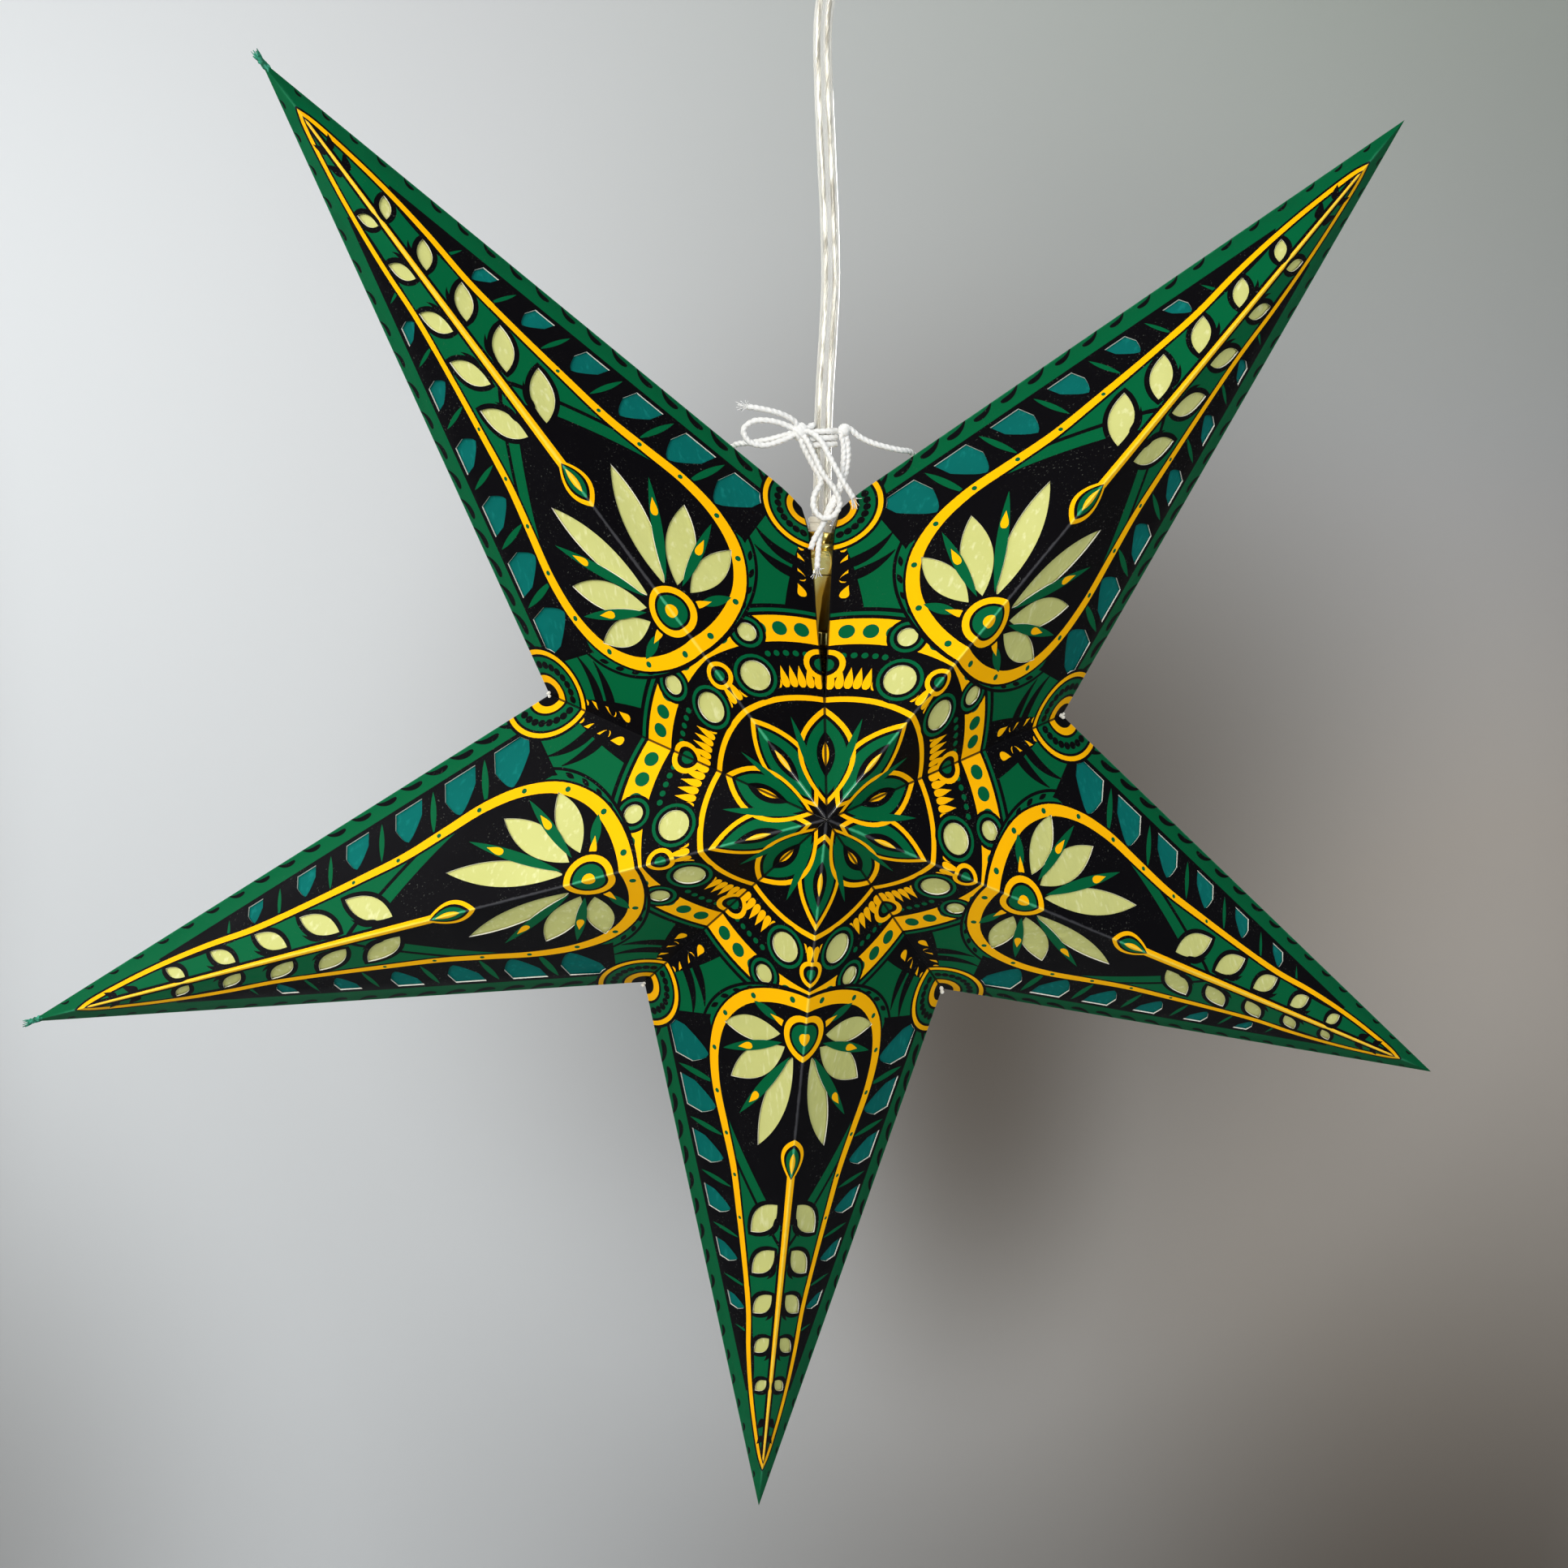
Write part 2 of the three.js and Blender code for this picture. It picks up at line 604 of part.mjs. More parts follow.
function neckWrap() {
  const across = cordHalfWidth + clearance + stringRadius + wrapSlack;
  const deep = cordHalfDepth + clearance + stringRadius + wrapSlack;
  const count = wrapTurns * windingStepsPerTurn;
  const turns = Array.from({ length: count + 1 }, (_, i) => {
    const angle = radians(wrapStartDegrees) + (2 * Math.PI * i) / windingStepsPerTurn;
    const height = wrapBottom + (wrapPitch * i) / windingStepsPerTurn;
    return vector(wrapAside + across * Math.cos(angle), deep * Math.sin(angle), height);
  });
  const winding = new THREE.CatmullRomCurve3(turns);
  const gap = leastOwnGap(winding, 2 * stringRadius, windingStepsPerTurn);
  console.log(`neck_wrap: least gap between its turns ${gap.toFixed(2)} mm`);
  const section = ringSection(stringRadius, stringRadius, windingSides);
  const route = [knotPlace, ...turns.map((point) => point.toArray()), knotPlace];
  return cordAlong(route, section, count + windingStepsPerTurn / 4).subtract(knotRoom);
}
addPiece(starGroup, 'neck_wrap', neckWrap(), 'cotton');

// The lamp: cord grip, domed cap, shell, ring, insulating core and contact
// The cord is two round cores side by side, joined at a waist
function twinSection() {
  const core = cordHalfWidth - cordHalfDepth;
  const lobe = coreArcDegrees.map(radians);
  const right = lobe.map((angle) => [cordHalfDepth * Math.sin(angle), core + cordHalfDepth * Math.cos(angle)]);
  const left = right.map(([deep, wide]) => [-deep, -wide]);
  const waist = cordHalfDepth - waistDepth;
  const corners = [...right, [waist, 0], ...left, [-waist, 0]];
  return new THREE.Shape(corners.map(([deep, wide]) => new THREE.Vector2(deep, wide)));
}
addPiece(lantern, 'lamp_cord', cordAlong(cordRoute, twinSection(), cordRoute.length * 2), 'clearCord');

const neckMiddle = (neckTop + neckBottom) / 2;
const holderNeck = turned([
  [0, neckBottom], [neckRadius, neckBottom], [neckRadius, neckMiddle - neckGroove],
  [neckRadius - neckGroove, neckMiddle], [neckRadius, neckMiddle + neckGroove],
  [neckRadius, neckTop - neckGroove], [neckRadius - neckGroove, neckTop], [0, neckTop],
]);
addPiece(starGroup, 'holder_neck', holderNeck, 'clearCord');

const shoulderTop = neckBottom - clearance;
const shoulderFoot = shoulderTop - shoulderHeight;
const beadTop = shoulderFoot - collarHeight;
const domeSteps = 5;
const domeCurve = (wall) => Array.from({ length: domeSteps + 1 }, (_, i) => {
  const share = i / domeSteps;
  const radius = THREE.MathUtils.lerp(holderRadius, domeTopRadius, share ** 2);
  return [radius - wall, THREE.MathUtils.lerp(domeBottom, domeTop - wall, share)];
});
const holderDome = turned([
  ...domeCurve(0), [beadRadius, beadTop - beadHeight], [beadRadius + clearance, beadTop - beadHeight / 2],
  [beadRadius, beadTop], [collarRadius, beadTop], [collarRadius, shoulderFoot],
  [shoulderRadius, shoulderFoot], [shoulderRadius, shoulderTop], [wireHoleRadius, shoulderTop],
  [wireHoleRadius, domeTop - holderWall], ...domeCurve(holderWall).reverse(),
]);
addPiece(starGroup, 'holder_dome', holderDome, 'goldFinish');

const shellTop = domeBottom - clearance;
const threadRadius = holderRadius - threadDepth;
const shellBore = threadRadius - holderWall;
const holderShell = turned([
  [shellBore, holderBottom], [threadRadius, holderBottom], [threadRadius, ringTop + clearance],
  [holderRadius, ringTop + clearance], [holderRadius, shellTop], [shellBore, shellTop],
]);
addPiece(starGroup, 'holder_shell', holderShell, 'goldFinish');

function knurledRing() {
  let ring = turned([
    [threadRadius + clearance, ringTop - ringHeight], [ringRadius, ringTop - ringHeight],
    [ringRadius, ringTop], [threadRadius + clearance, ringTop],
  ]);
  const side = ringGrooveDepth * Math.SQRT2;
  const height = ringHeight + 2 * cutOver;
  for (let i = 0; i < ringGrooves; i += 1) {
    const turn = (2 * Math.PI * i) / ringGrooves;
    const groove = new THREE.BoxGeometry(side, side, height).rotateZ(Math.PI / 4);
    groove.translate(ringRadius, 0, ringTop - ringHeight / 2).rotateZ(turn);
    ring = ring.subtract(solidOf(groove));
  }
  return ring;
}
addPiece(starGroup, 'holder_ring', knurledRing(), 'goldFinish');

const coreRadius = shellBore - clearance;
const holderCore = turned([
  [coreBoreRadius, holderBottom + holderWall], [coreRadius, holderBottom + holderWall], [coreRadius, coreTop],
  [wireHoleRadius, coreTop], [wireHoleRadius, coreFloor], [coreBoreRadius, coreFloor],
]);
addPiece(starGroup, 'holder_core', holderCore, 'whitePlastic');

const tongueTop = coreFloor - clearance;
const tongueBottom = tongueTop - tongueThickness;
const contact = bar(tongueWidth, tongueLength, tongueThickness, 0, 0, (tongueTop + tongueBottom) / 2);
addPiece(starGroup, 'holder_contact', contact, 'brass');

// The bulb: contact tip, threaded cap and opal glass
const tipTop = tongueBottom - clearance;
const capTop = tipTop - tipHeight;
const bulbTip = turned([
  [0, capTop + clearance], [tipRadius, capTop + clearance], [tipRadius - capWall, tipTop], [0, tipTop],
]);
addPiece(starGroup, 'bulb_tip', bulbTip, 'brass');

const neckEnd = holderBottom + clearance;
const capBottom = neckEnd + clearance;
const capShoulder = capTop - capShoulderHeight;
function bulbCap() {
  const threads = Math.floor((capShoulder - capBottom) / capThreadPitch);
  const ripple = Array.from({ length: 2 * threads + 1 }, (_, i) => [
    capRadius - (i % 2) * capThreadDepth,
    capBottom + (i * capThreadPitch) / 2,
  ]);
  const inside = capRadius - capThreadDepth - capWall;
  return turned([
    ...ripple, [capRadius - capThreadDepth, capShoulder], [capShoulderRadius, capTop], [0, capTop],
    [0, capTop - capWall], [inside, capShoulder - capWall], [inside, capBottom],
  ]);
}
addPiece(starGroup, 'bulb_cap', bulbCap(), 'steel');

const neckStart = neckEnd - bulbNeckHeight;
const bulbArcSteps = 9;
const bulbTopDegrees = 50;
const glassOutline = (wall) => [
  ...arc(bulbArcSteps, -90, bulbTopDegrees, bulbRadius - wall, bulbCentre),
  [bulbNeckRadius - wall, neckStart], [bulbNeckRadius - wall, neckEnd],
];
const bulbGlass = turned([...glassOutline(0), ...glassOutline(glassWall).reverse()]);
addPiece(starGroup, 'bulb_glass', bulbGlass, 'opalGlass');

// The ceiling rose: base, screws, terminal block, cover and cord grip
const baseRadius = roseRadius - roseWall - clearance;
function roseBase() {
  let base = turned([
    [0, -baseHeight + baseRecess], [baseRadius - baseRim, -baseHeight + baseRecess],
    [baseRadius - baseRim, -baseHeight], [baseRadius, -baseHeight], [baseRadius, 0], [0, 0],
  ]);
  for (const side of [-1, 1]) {
    base = base.subtract(rod(screwHoleRadius, -baseHeight - cutOver, cutOver, side * screwOffset));
  }
  return base.subtract(rod(wireEntryRadius, -baseHeight - cutOver, cutOver, 0, wireEntryBack));
}
addPiece(lantern, 'rose_base', roseBase(), 'whitePlastic');

const plateUnder = -baseHeight + baseRecess;
function roseScrew(x) {
  const headTop = plateUnder - clearance;
  const headBottom = headTop - screwHeadHeight;
  const screw = turned([
    [0, headBottom], [screwHeadRadius - screwSlotDepth, headBottom], [screwHeadRadius, headTop],
    [screwShankRadius, headTop], [screwShankRadius, -clearance], [0, -clearance],
  ]).translate([x, 0, 0]);
  const slotWidth = 2 * screwHeadRadius;
  return screw.subtract(bar(slotWidth, screwSlotWidth, 2 * screwSlotDepth, x, 0, headBottom));
}
addPiece(lantern, 'rose_screw_left', roseScrew(-screwOffset), 'steel');
addPiece(lantern, 'rose_screw_right', roseScrew(screwOffset), 'steel');

function terminalBlock() {
  const top = plateUnder - clearance;
  let block = bar(blockWidth, blockDepth, blockHeight, 0, 0, top - blockHeight / 2);
  for (const side of [-1, 1]) {
    const x = (side * blockWidth) / 4;
    const bottom = top - blockHeight;
    block = block.subtract(rod(blockScrewRadius, bottom - cutOver, bottom + blockScrewDepth, x));
  }
  return block;
}
addPiece(lantern, 'terminal_block', terminalBlock(), 'whitePlastic');

const gripHole = gripRadius + clearance;
const coverOutline = (wall) => [
  [gripHole, -roseDepth + wall], [roseShoulderRadius / 2, -roseDepth + wall],
  [roseShoulderRadius - wall, -roseShoulderDepth - wall / 2], [roseRadius - wall, -roseCollar],
  [roseRadius - wall, -clearance],
];
const roseCover = turned([...coverOutline(0), ...coverOutline(roseWall).reverse()]);
addPiece(lantern, 'rose_cover', roseCover, 'whitePlastic');

const flangeBottom = -roseDepth + roseWall + clearance;
const roseGrip = turned([
  [0, -roseDepth - gripNose], [gripNoseRadius, -roseDepth - gripNose], [gripRadius, -roseDepth],
  [gripRadius, flangeBottom], [gripFlangeRadius, flangeBottom], [gripFlangeRadius, flangeBottom + gripFlange],
  [0, flangeBottom + gripFlange],
]);
addPiece(lantern, 'rose_grip', roseGrip, 'whitePlastic');

export default lantern;
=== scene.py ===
import json
import math
import random

import bmesh
import bpy
from mathutils import Euler, Matrix, Vector
from mathutils.geometry import delaunay_2d_cdt

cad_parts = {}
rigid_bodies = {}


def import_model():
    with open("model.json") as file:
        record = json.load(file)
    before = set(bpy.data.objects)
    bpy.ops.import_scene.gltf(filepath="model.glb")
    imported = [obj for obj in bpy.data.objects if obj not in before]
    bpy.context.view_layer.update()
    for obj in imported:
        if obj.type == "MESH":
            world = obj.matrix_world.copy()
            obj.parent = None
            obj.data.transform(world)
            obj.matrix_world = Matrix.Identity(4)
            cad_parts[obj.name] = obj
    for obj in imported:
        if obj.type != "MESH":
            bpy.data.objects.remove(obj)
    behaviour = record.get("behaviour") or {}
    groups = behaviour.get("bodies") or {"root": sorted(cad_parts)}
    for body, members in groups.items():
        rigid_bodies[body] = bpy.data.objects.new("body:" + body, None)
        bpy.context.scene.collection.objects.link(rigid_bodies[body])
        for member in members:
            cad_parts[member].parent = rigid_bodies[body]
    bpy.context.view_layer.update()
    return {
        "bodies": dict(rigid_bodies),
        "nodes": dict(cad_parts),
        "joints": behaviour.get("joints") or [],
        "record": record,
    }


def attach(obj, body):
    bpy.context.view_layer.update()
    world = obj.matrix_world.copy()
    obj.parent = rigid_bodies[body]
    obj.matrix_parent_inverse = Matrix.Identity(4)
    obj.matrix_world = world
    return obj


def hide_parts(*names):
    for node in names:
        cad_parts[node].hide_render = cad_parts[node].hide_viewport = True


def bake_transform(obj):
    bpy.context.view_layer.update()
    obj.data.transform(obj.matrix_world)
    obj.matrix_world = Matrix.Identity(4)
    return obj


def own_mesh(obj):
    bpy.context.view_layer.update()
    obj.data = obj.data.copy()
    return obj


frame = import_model()

# The camera stands half a metre in front of the star, a little above it and to its left, where a
# fit of the star's corners puts it. Its focal length is given in pixels of the square picture.
star = Vector((0, 0, -0.362))
picture_pixels = 1932
focal_pixels = 1698
eye_turn = Euler((math.radians(11.11), math.radians(2.0), math.radians(5.05)), "XYZ").to_matrix()
star_from_eye = Vector((0.0082, 0.5135, 0.0019))
eye_right, eye_ahead, eye_up = eye_turn
camera_data = bpy.data.cameras.new("camera")
camera_data.sensor_width = 36
camera_data.lens = camera_data.sensor_width * focal_pixels / picture_pixels
camera_data.clip_start = 0.01
camera = bpy.data.objects.new("camera", camera_data)
camera.matrix_world = Matrix((eye_right, eye_up, -eye_ahead)).transposed().to_4x4()
camera.matrix_world.translation = star - eye_turn.transposed() @ star_from_eye
bpy.context.collection.objects.link(camera)
bpy.context.scene.camera = camera


# The lamp cord is a clear flat twin flex: two round cores side by side, joined at a waist, with
# silvery stranded wire inside. It waves on its way down from the ceiling rose to the holder.
class Signal:
    def __init__(self, finish, socket):
        self.finish = finish
        self.socket = socket

    def worked(self, operation, first, second):
        return self.finish.node("ShaderNodeMath", {"operation": operation}, {0: first, 1: second})

    def __add__(self, other):
        return self.worked("ADD", self, other)

    def __radd__(self, other):
        return self.worked("ADD", other, self)

    def __sub__(self, other):
        return self.worked("SUBTRACT", self, other)

    def __rsub__(self, other):
        return self.worked("SUBTRACT", other, self)

    def __mul__(self, other):
        return self.worked("MULTIPLY", self, other)

    def __truediv__(self, other):
        return self.worked("DIVIDE", self, other)

    def within(self):
        return self.worked("MINIMUM", self.worked("MAXIMUM", self, 0.0), 1.0)


def tone(code):
    parts = [int(code[i:i + 2], 16) / 255 for i in (1, 3, 5)]
    linear = [p / 12.92 if p <= 0.04045 else ((p + 0.055) / 1.055) ** 2.4 for p in parts]
    return (*linear, 1)


class Finish:
    def __init__(self, name, colour, roughness, metallic=0.0, **more):
        self.material = bpy.data.materials.new(name)
        self.material.use_nodes = True
        self.tree = self.material.node_tree
        self.surface = self.tree.nodes["Principled BSDF"]
        self.give(self.surface, "Base Color", tone(colour))
        self.give(self.surface, "Roughness", roughness)
        self.give(self.surface, "Metallic", metallic)
        for name, value in more.items():
            self.give(self.surface, name.replace("_", " "), value)

    def give(self, node, key, value):
        if isinstance(value, Signal):
            self.tree.links.new(value.socket, node.inputs[key])
        else:
            node.inputs[key].default_value = value

    def node(self, kind, settings=None, values=None, output=0):
        node = self.tree.nodes.new(kind)
        for name, value in (settings or {}).items():
            if name == "stops":
                for element, (position, colour) in zip(node.color_ramp.elements, value):
                    element.position = position
                    element.color = colour
            else:
                setattr(node, name, value)
        for key, value in (values or {}).items():
            self.give(node, key, value)
        return Signal(self, node.outputs[output])

    def place(self, kind="Object"):
        return self.node("ShaderNodeTexCoord", output=kind)

    def cloud(self, scale, detail=3.0, stretch=(1, 1, 1)):
        spot = self.node("ShaderNodeMapping", {}, {"Vector": self.place(), "Scale": stretch})
        return self.node("ShaderNodeTexNoise", {}, {"Vector": spot, "Scale": scale, "Detail": detail})

    def between(self, share, first, second):
        values = {0: share, 6: first, 7: second}
        return self.node("ShaderNodeMix", {"data_type": "RGBA"}, values, 2)

    def steps(self, value, low, high):
        stops = ((low, (0, 0, 0, 1)), (high, (1, 1, 1, 1)))
        return self.node("ShaderNodeValToRGB", {"stops": stops}, {0: value})

    def axes(self, kind="Object"):
        spot = self.node("ShaderNodeSeparateXYZ", {}, {0: self.place(kind)})
        return [Signal(self, socket) for socket in spot.socket.node.outputs]

    def rough(self, height, distance, strength=1.0):
        values = {"Height": height, "Distance": distance, "Strength": strength}
        self.give(self.surface, "Normal", self.node("ShaderNodeBump", {}, values))

    def paint(self, **sockets):
        for name, value in sockets.items():
            self.give(self.surface, name.replace("_", " "), value)

    def mottled(self, scale, first, second, detail=3.0):
        self.paint(Base_Color=self.between(self.cloud(scale, detail), tone(first), tone(second)))


def object_of(name, bm, finishes, smooth=True):
    mesh = bpy.data.meshes.new(name)
    bm.to_mesh(mesh)
    bm.free()
    for finish in finishes:
        mesh.materials.append(finish.material)
    mesh.polygons.foreach_set("use_smooth", [smooth] * len(mesh.polygons))
    piece = bpy.data.objects.new(name, mesh)
    bpy.context.collection.objects.link(piece)
    return piece


def smooth_route(points, step):
    points = [Vector(p) for p in points]
    ends = [2 * points[0] - points[1], *points, 2 * points[-1] - points[-2]]
    route = [points[0]]
    for before, start, end, after in zip(ends, ends[1:], ends[2:], ends[3:]):
        a, b, c = (math.sqrt(d.length) for d in (start - before, end - start, after - end))
        leave = ((start - before) / a - (end - before) / (a + b) + (end - start) / b) * b
        arrive = ((end - start) / b - (after - start) / (b + c) + (after - end) / c) * b
        count = max(2, round((end - start).length / step))
        for i in range(1, count + 1):
            t = i / count
            bend = 3 * (end - start) - 2 * leave - arrive
            sway = 2 * (start - end) + leave + arrive
            route.append(start + leave * t + bend * t ** 2 + sway * t ** 3)
    return route


def route_length(route):
    return sum((b - a).length for a, b in zip(route, route[1:]))


def frames_along(route, side, twist_per_metre=0.0):
    frames = []
    travelled = 0.0
    for i, point in enumerate(route):
        ahead = (route[min(i + 1, len(route) - 1)] - route[max(i - 1, 0)]).normalized()
        side = (side - ahead * side.dot(ahead)).normalized()
        turn = Matrix((side, ahead.cross(side), ahead)).transposed().to_4x4()
        travelled += (point - route[max(i - 1, 0)]).length
        spin = Matrix.Rotation(twist_per_metre * travelled, 4, "Z")
        frames.append(Matrix.Translation(point) @ turn @ spin)
    return frames


def drawn_along(bm, section, frames):
    ring = [bm.verts.new(frames[0] @ Vector((x, y, 0))) for x, y in section]
    edges = [bm.edges.new((a, b)) for a, b in zip(ring, ring[1:] + ring[:1])]
    for last, new in zip(frames, frames[1:]):
        grown = bmesh.ops.extrude_edge_only(bm, edges=edges)["geom"]
        ring = [v for v in grown if isinstance(v, bmesh.types.BMVert)]
        edges = [e for e in grown if isinstance(e, bmesh.types.BMEdge)]
        bmesh.ops.transform(bm, matrix=new @ last.inverted(), verts=ring)
    bmesh.ops.holes_fill(bm, edges=[e for e in bm.edges if e.is_boundary], sides=0)
    bmesh.ops.recalc_face_normals(bm, faces=bm.faces)


def lobed(radius, depth, lobes, sides):
    ring = []
    for i in range(sides):
        angle = 2 * math.pi * i / sides
        reach = radius - depth * (0.5 - 0.5 * math.cos(lobes * angle))
        ring.append((reach * math.cos(angle), reach * math.sin(angle)))
    return ring


across = Vector((1, 0, 0))
cord_points = [
    (0, 0, -0.2657), (0, 0, -0.255), (-0.0007, 0, -0.24), (-0.001, 0.0002, -0.222),
    (-0.0008, 0.0008, -0.204), (-0.001, 0.0006, -0.185), (-0.0026, 0.0002, -0.165),
    (-0.005, -0.0004, -0.143), (-0.0073, -0.0009, -0.121), (-0.0084, -0.001, -0.103),
    (-0.007, -0.0007, -0.09), (-0.0037, -0.0003, -0.078), (-0.0008, 0, -0.068),
    (0, 0, -0.061), (0, 0, -0.0543),
]
cord_half_width = 0.0032
core_radius = 0.0016
core_spacing = cord_half_width - core_radius
waist_degrees = 145
core_steps = 12
wire_radius = 0.00085
strand_depth = 0.00026
strand_count = 7
wire_twist = 260
cord_route = smooth_route(cord_points, 0.0025)
sheath_finish = Finish("clear_flex", "#f6f4ec", 0.1, Specular_IOR_Level=0.9)
# edge_reflection makes the clear sheath more opaque and pale towards its sides: a painted reflection along
# the cord's edges.
edge_reflection = sheath_finish.node("ShaderNodeLayerWeight", {}, {"Blend": 0.5}, 1)
sheath_finish.mottled(140, "#fdfdfa", "#ece8dc")
sheath_finish.paint(Alpha=(0.1 + edge_reflection * 0.75 + sheath_finish.cloud(90, 2, (3, 3, 1)) * 0.14).within())
twin = []
for side in (1, -1):
    for i in range(core_steps + 1):
        angle = math.radians(waist_degrees * (2 * i / core_steps - 1))
        twin.append((side * (core_spacing + core_radius * math.cos(angle)),
                     side * core_radius * math.sin(angle)))
bm = bmesh.new()
drawn_along(bm, twin, frames_along(cord_route, across))
sheath = object_of("lamp_cord_sheath", bm, [sheath_finish])
wire_finish = Finish("tinned_strands", "#f4f1e6", 0.3, 0.55)
wire_finish.paint(Base_Color=wire_finish.between(
    wire_finish.steps(wire_finish.cloud(700, 3, (1, 1, 0.15)), 0.4, 0.6), tone("#fffdf2"), tone("#8d8878")))
bm = bmesh.new()
for side in (-1, 1):
    frames = frames_along(cord_route, across, wire_twist)
    shift = Vector((side * core_spacing, 0, 0))
    frames = [Matrix.Translation(shift) @ f for f in frames]
    drawn_along(bm, lobed(wire_radius, strand_depth, strand_count, 4 * strand_count), frames)
wires = object_of("lamp_cord_wires", bm, [wire_finish])
for piece in (sheath, wires):
    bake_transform(piece)
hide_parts("lamp_cord")
route_length(cord_route)


# The star hangs from soft white cotton string: one string from each upper arm's back panel, turns
# round the flex, two knots, a spare end, and a bow with two loops and two ends. The string is
# two-ply and its cut ends are frayed.
def from_star(points):
    return [star + Vector(p) / 1000 for p in points]


cotton = Finish("cotton_string", "#f6f6f4", 0.95, Sheen_Weight=0.4)
cotton.mottled(900, "#fefefd", "#dcdddc")
cotton.rough(cotton.cloud(2500), 0.0002)
string_radius = 0.0011
ply_depth = 0.00021
ply_twist = 1500
string_step = 0.0006
hair_radius = 0.00012
hair_count = 16
hair_length = 0.0035
fibre_radius = 0.00016
knot_place = (-9.3, -3.5, 125)
string_points = {
    "left_string": [
        (-36.9, 1.3, 113.7), (-36.1, 2.8, 114.8), (-35.1, 4.8, 116.2), (-33.4, 4.9, 118.4),
        (-30.8, 2.2, 119.9), (-27, -0.6, 120.4), (-21, -1.2, 121.6), (-15.6, -1.6, 123.2),
        (-12.2, -2.4, 124.4), knot_place,
    ],
    "bow_loop_side": [
        knot_place, (-12.6, -3.9, 126.3), (-19, -5, 127.9), (-26, -5.8, 127.5), (-29.4, -6, 124.4),
        (-27.4, -5.8, 120.6), (-22, -5.4, 119.5), (-16, -4.8, 121.4), (-12.2, -4.5, 123.3), knot_place,
    ],
    "bow_end_side": [
        knot_place, (-11.4, -4.9, 128.2), (-17, -6.5, 130.6), (-23, -7.6, 131.6), (-28.5, -8, 132.2),
    ],
    "bow_loop_down": [
        knot_place, (-7.1, -5.5, 122.4), (-4.2, -7.4, 117), (-1, -8.6, 111), (3.6, -9, 105.5),
        (5.6, -9, 100.5), (3.4, -9, 96.4), (-0.2, -8.9, 95.6), (-3.3, -8.4, 98.6), (-3.5, -7.2, 103),
        (-1.2, -5.8, 108.5), (-4.4, -5, 114), (-8.4, -4.4, 121), knot_place,
    ],
    "bow_end_down": [
        knot_place, (-6.4, -5.4, 125.2), (-2.6, -8.9, 122.4), (1.2, -11.6, 116), (5.6, -12.4, 109),
        (9.9, -12, 103),
    ],
    "right_string": [
        (36.5, -0.9, 114.6), (35.8, 0.7, 115.7), (34.9, 2.6, 117.1), (33.2, 3.1, 119.2),
        (30.8, 1, 120.6), (27.4, -1.6, 120.7), (22, -2.8, 121.4), (16.6, -3.2, 122.6),
        (12, -3.4, 124.4), (8.8, -4, 126.6), (6.6, -4.8, 127.4), (5.4, -4.9, 124.8), (6.4, -4.2, 121),
        (6.6, -3.8, 114), (5.4, -3.8, 106), (2.4, -4.6, 99.5), (0.4, -6.4, 93.5), (-0.8, -8.7, 88.5),
        (-1.5, -12.7, 82.8), (-1.8, -15.8, 78),
    ],
}
wrap_turns = 3
wrap_across = 4.6
wrap_deep = 3.1
wrap_aside = -0.8
wrap_bottom = 120.7
wrap_pitch = 2.3
wrap_start = math.radians(215)
wrap_steps = 24
turns = []
for i in range(wrap_turns * wrap_steps + 1):
    angle = wrap_start + 2 * math.pi * i / wrap_steps
    turns.append((wrap_aside + wrap_across * math.cos(angle), wrap_deep * math.sin(angle),
                  wrap_bottom + wrap_pitch * i / wrap_steps))
string_points["neck_wrap"] = [knot_place, *turns, knot_place]


def string_piece(name, route):
    bm = bmesh.new()
    drawn_along(bm, lobed(string_radius, ply_depth, 2, 14), frames_along(route, across, ply_twist))
    return object_of(name, bm, [cotton])


def tied(piece):
    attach(piece, "lamp")


def frayed(bm, route, count, length):
    end = route[-1]
    ahead = (end - route[-4]).normalized()
    for i in range(count):
        spread = Vector((random.uniform(-1, 1), random.uniform(-1, 1), random.uniform(-1, 1)))
        start = end - ahead * 0.001 + spread * string_radius * 0.4
        bend = start + (ahead + spread * 0.35) * length * 0.6
        tip = bend + (ahead * 0.5 + spread * 0.6) * length * random.uniform(0.3, 0.7)
        hair = smooth_route([start, bend, tip], length / 6)
        drawn_along(bm, lobed(hair_radius, 0, 1, 5), frames_along(hair, across))


loose_fibre = [(35.8, 0.7, 115.7), (36.5, -3.5, 112), (35, -8.8, 106.5), (30, -9.8, 102.4),
               (24, -8.4, 100.5), (19.5, -6.5, 100.3)]
random.seed(7)
string_pieces = {}
fray = {}
for name, points in string_points.items():
    route = smooth_route(from_star(points), string_step)
    piece = string_piece(name + "_cotton", route)
    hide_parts(name)
    string_pieces[name] = (piece, route)
    tied(piece)
    if name in ("bow_end_side", "bow_end_down", "right_string"):
        bm = bmesh.new()
        frayed(bm, route, hair_count, hair_length)
        if name == "right_string":
            fibre = smooth_route(from_star(loose_fibre), 0.001)
            drawn_along(bm, lobed(fibre_radius, 0, 1, 6), frames_along(fibre, across))
        fray[name] = object_of(name + "_fray", bm, [cotton])
        tied(fray[name])
side_knot_place = (6.1, -4.7, 126.2)
knots = {}
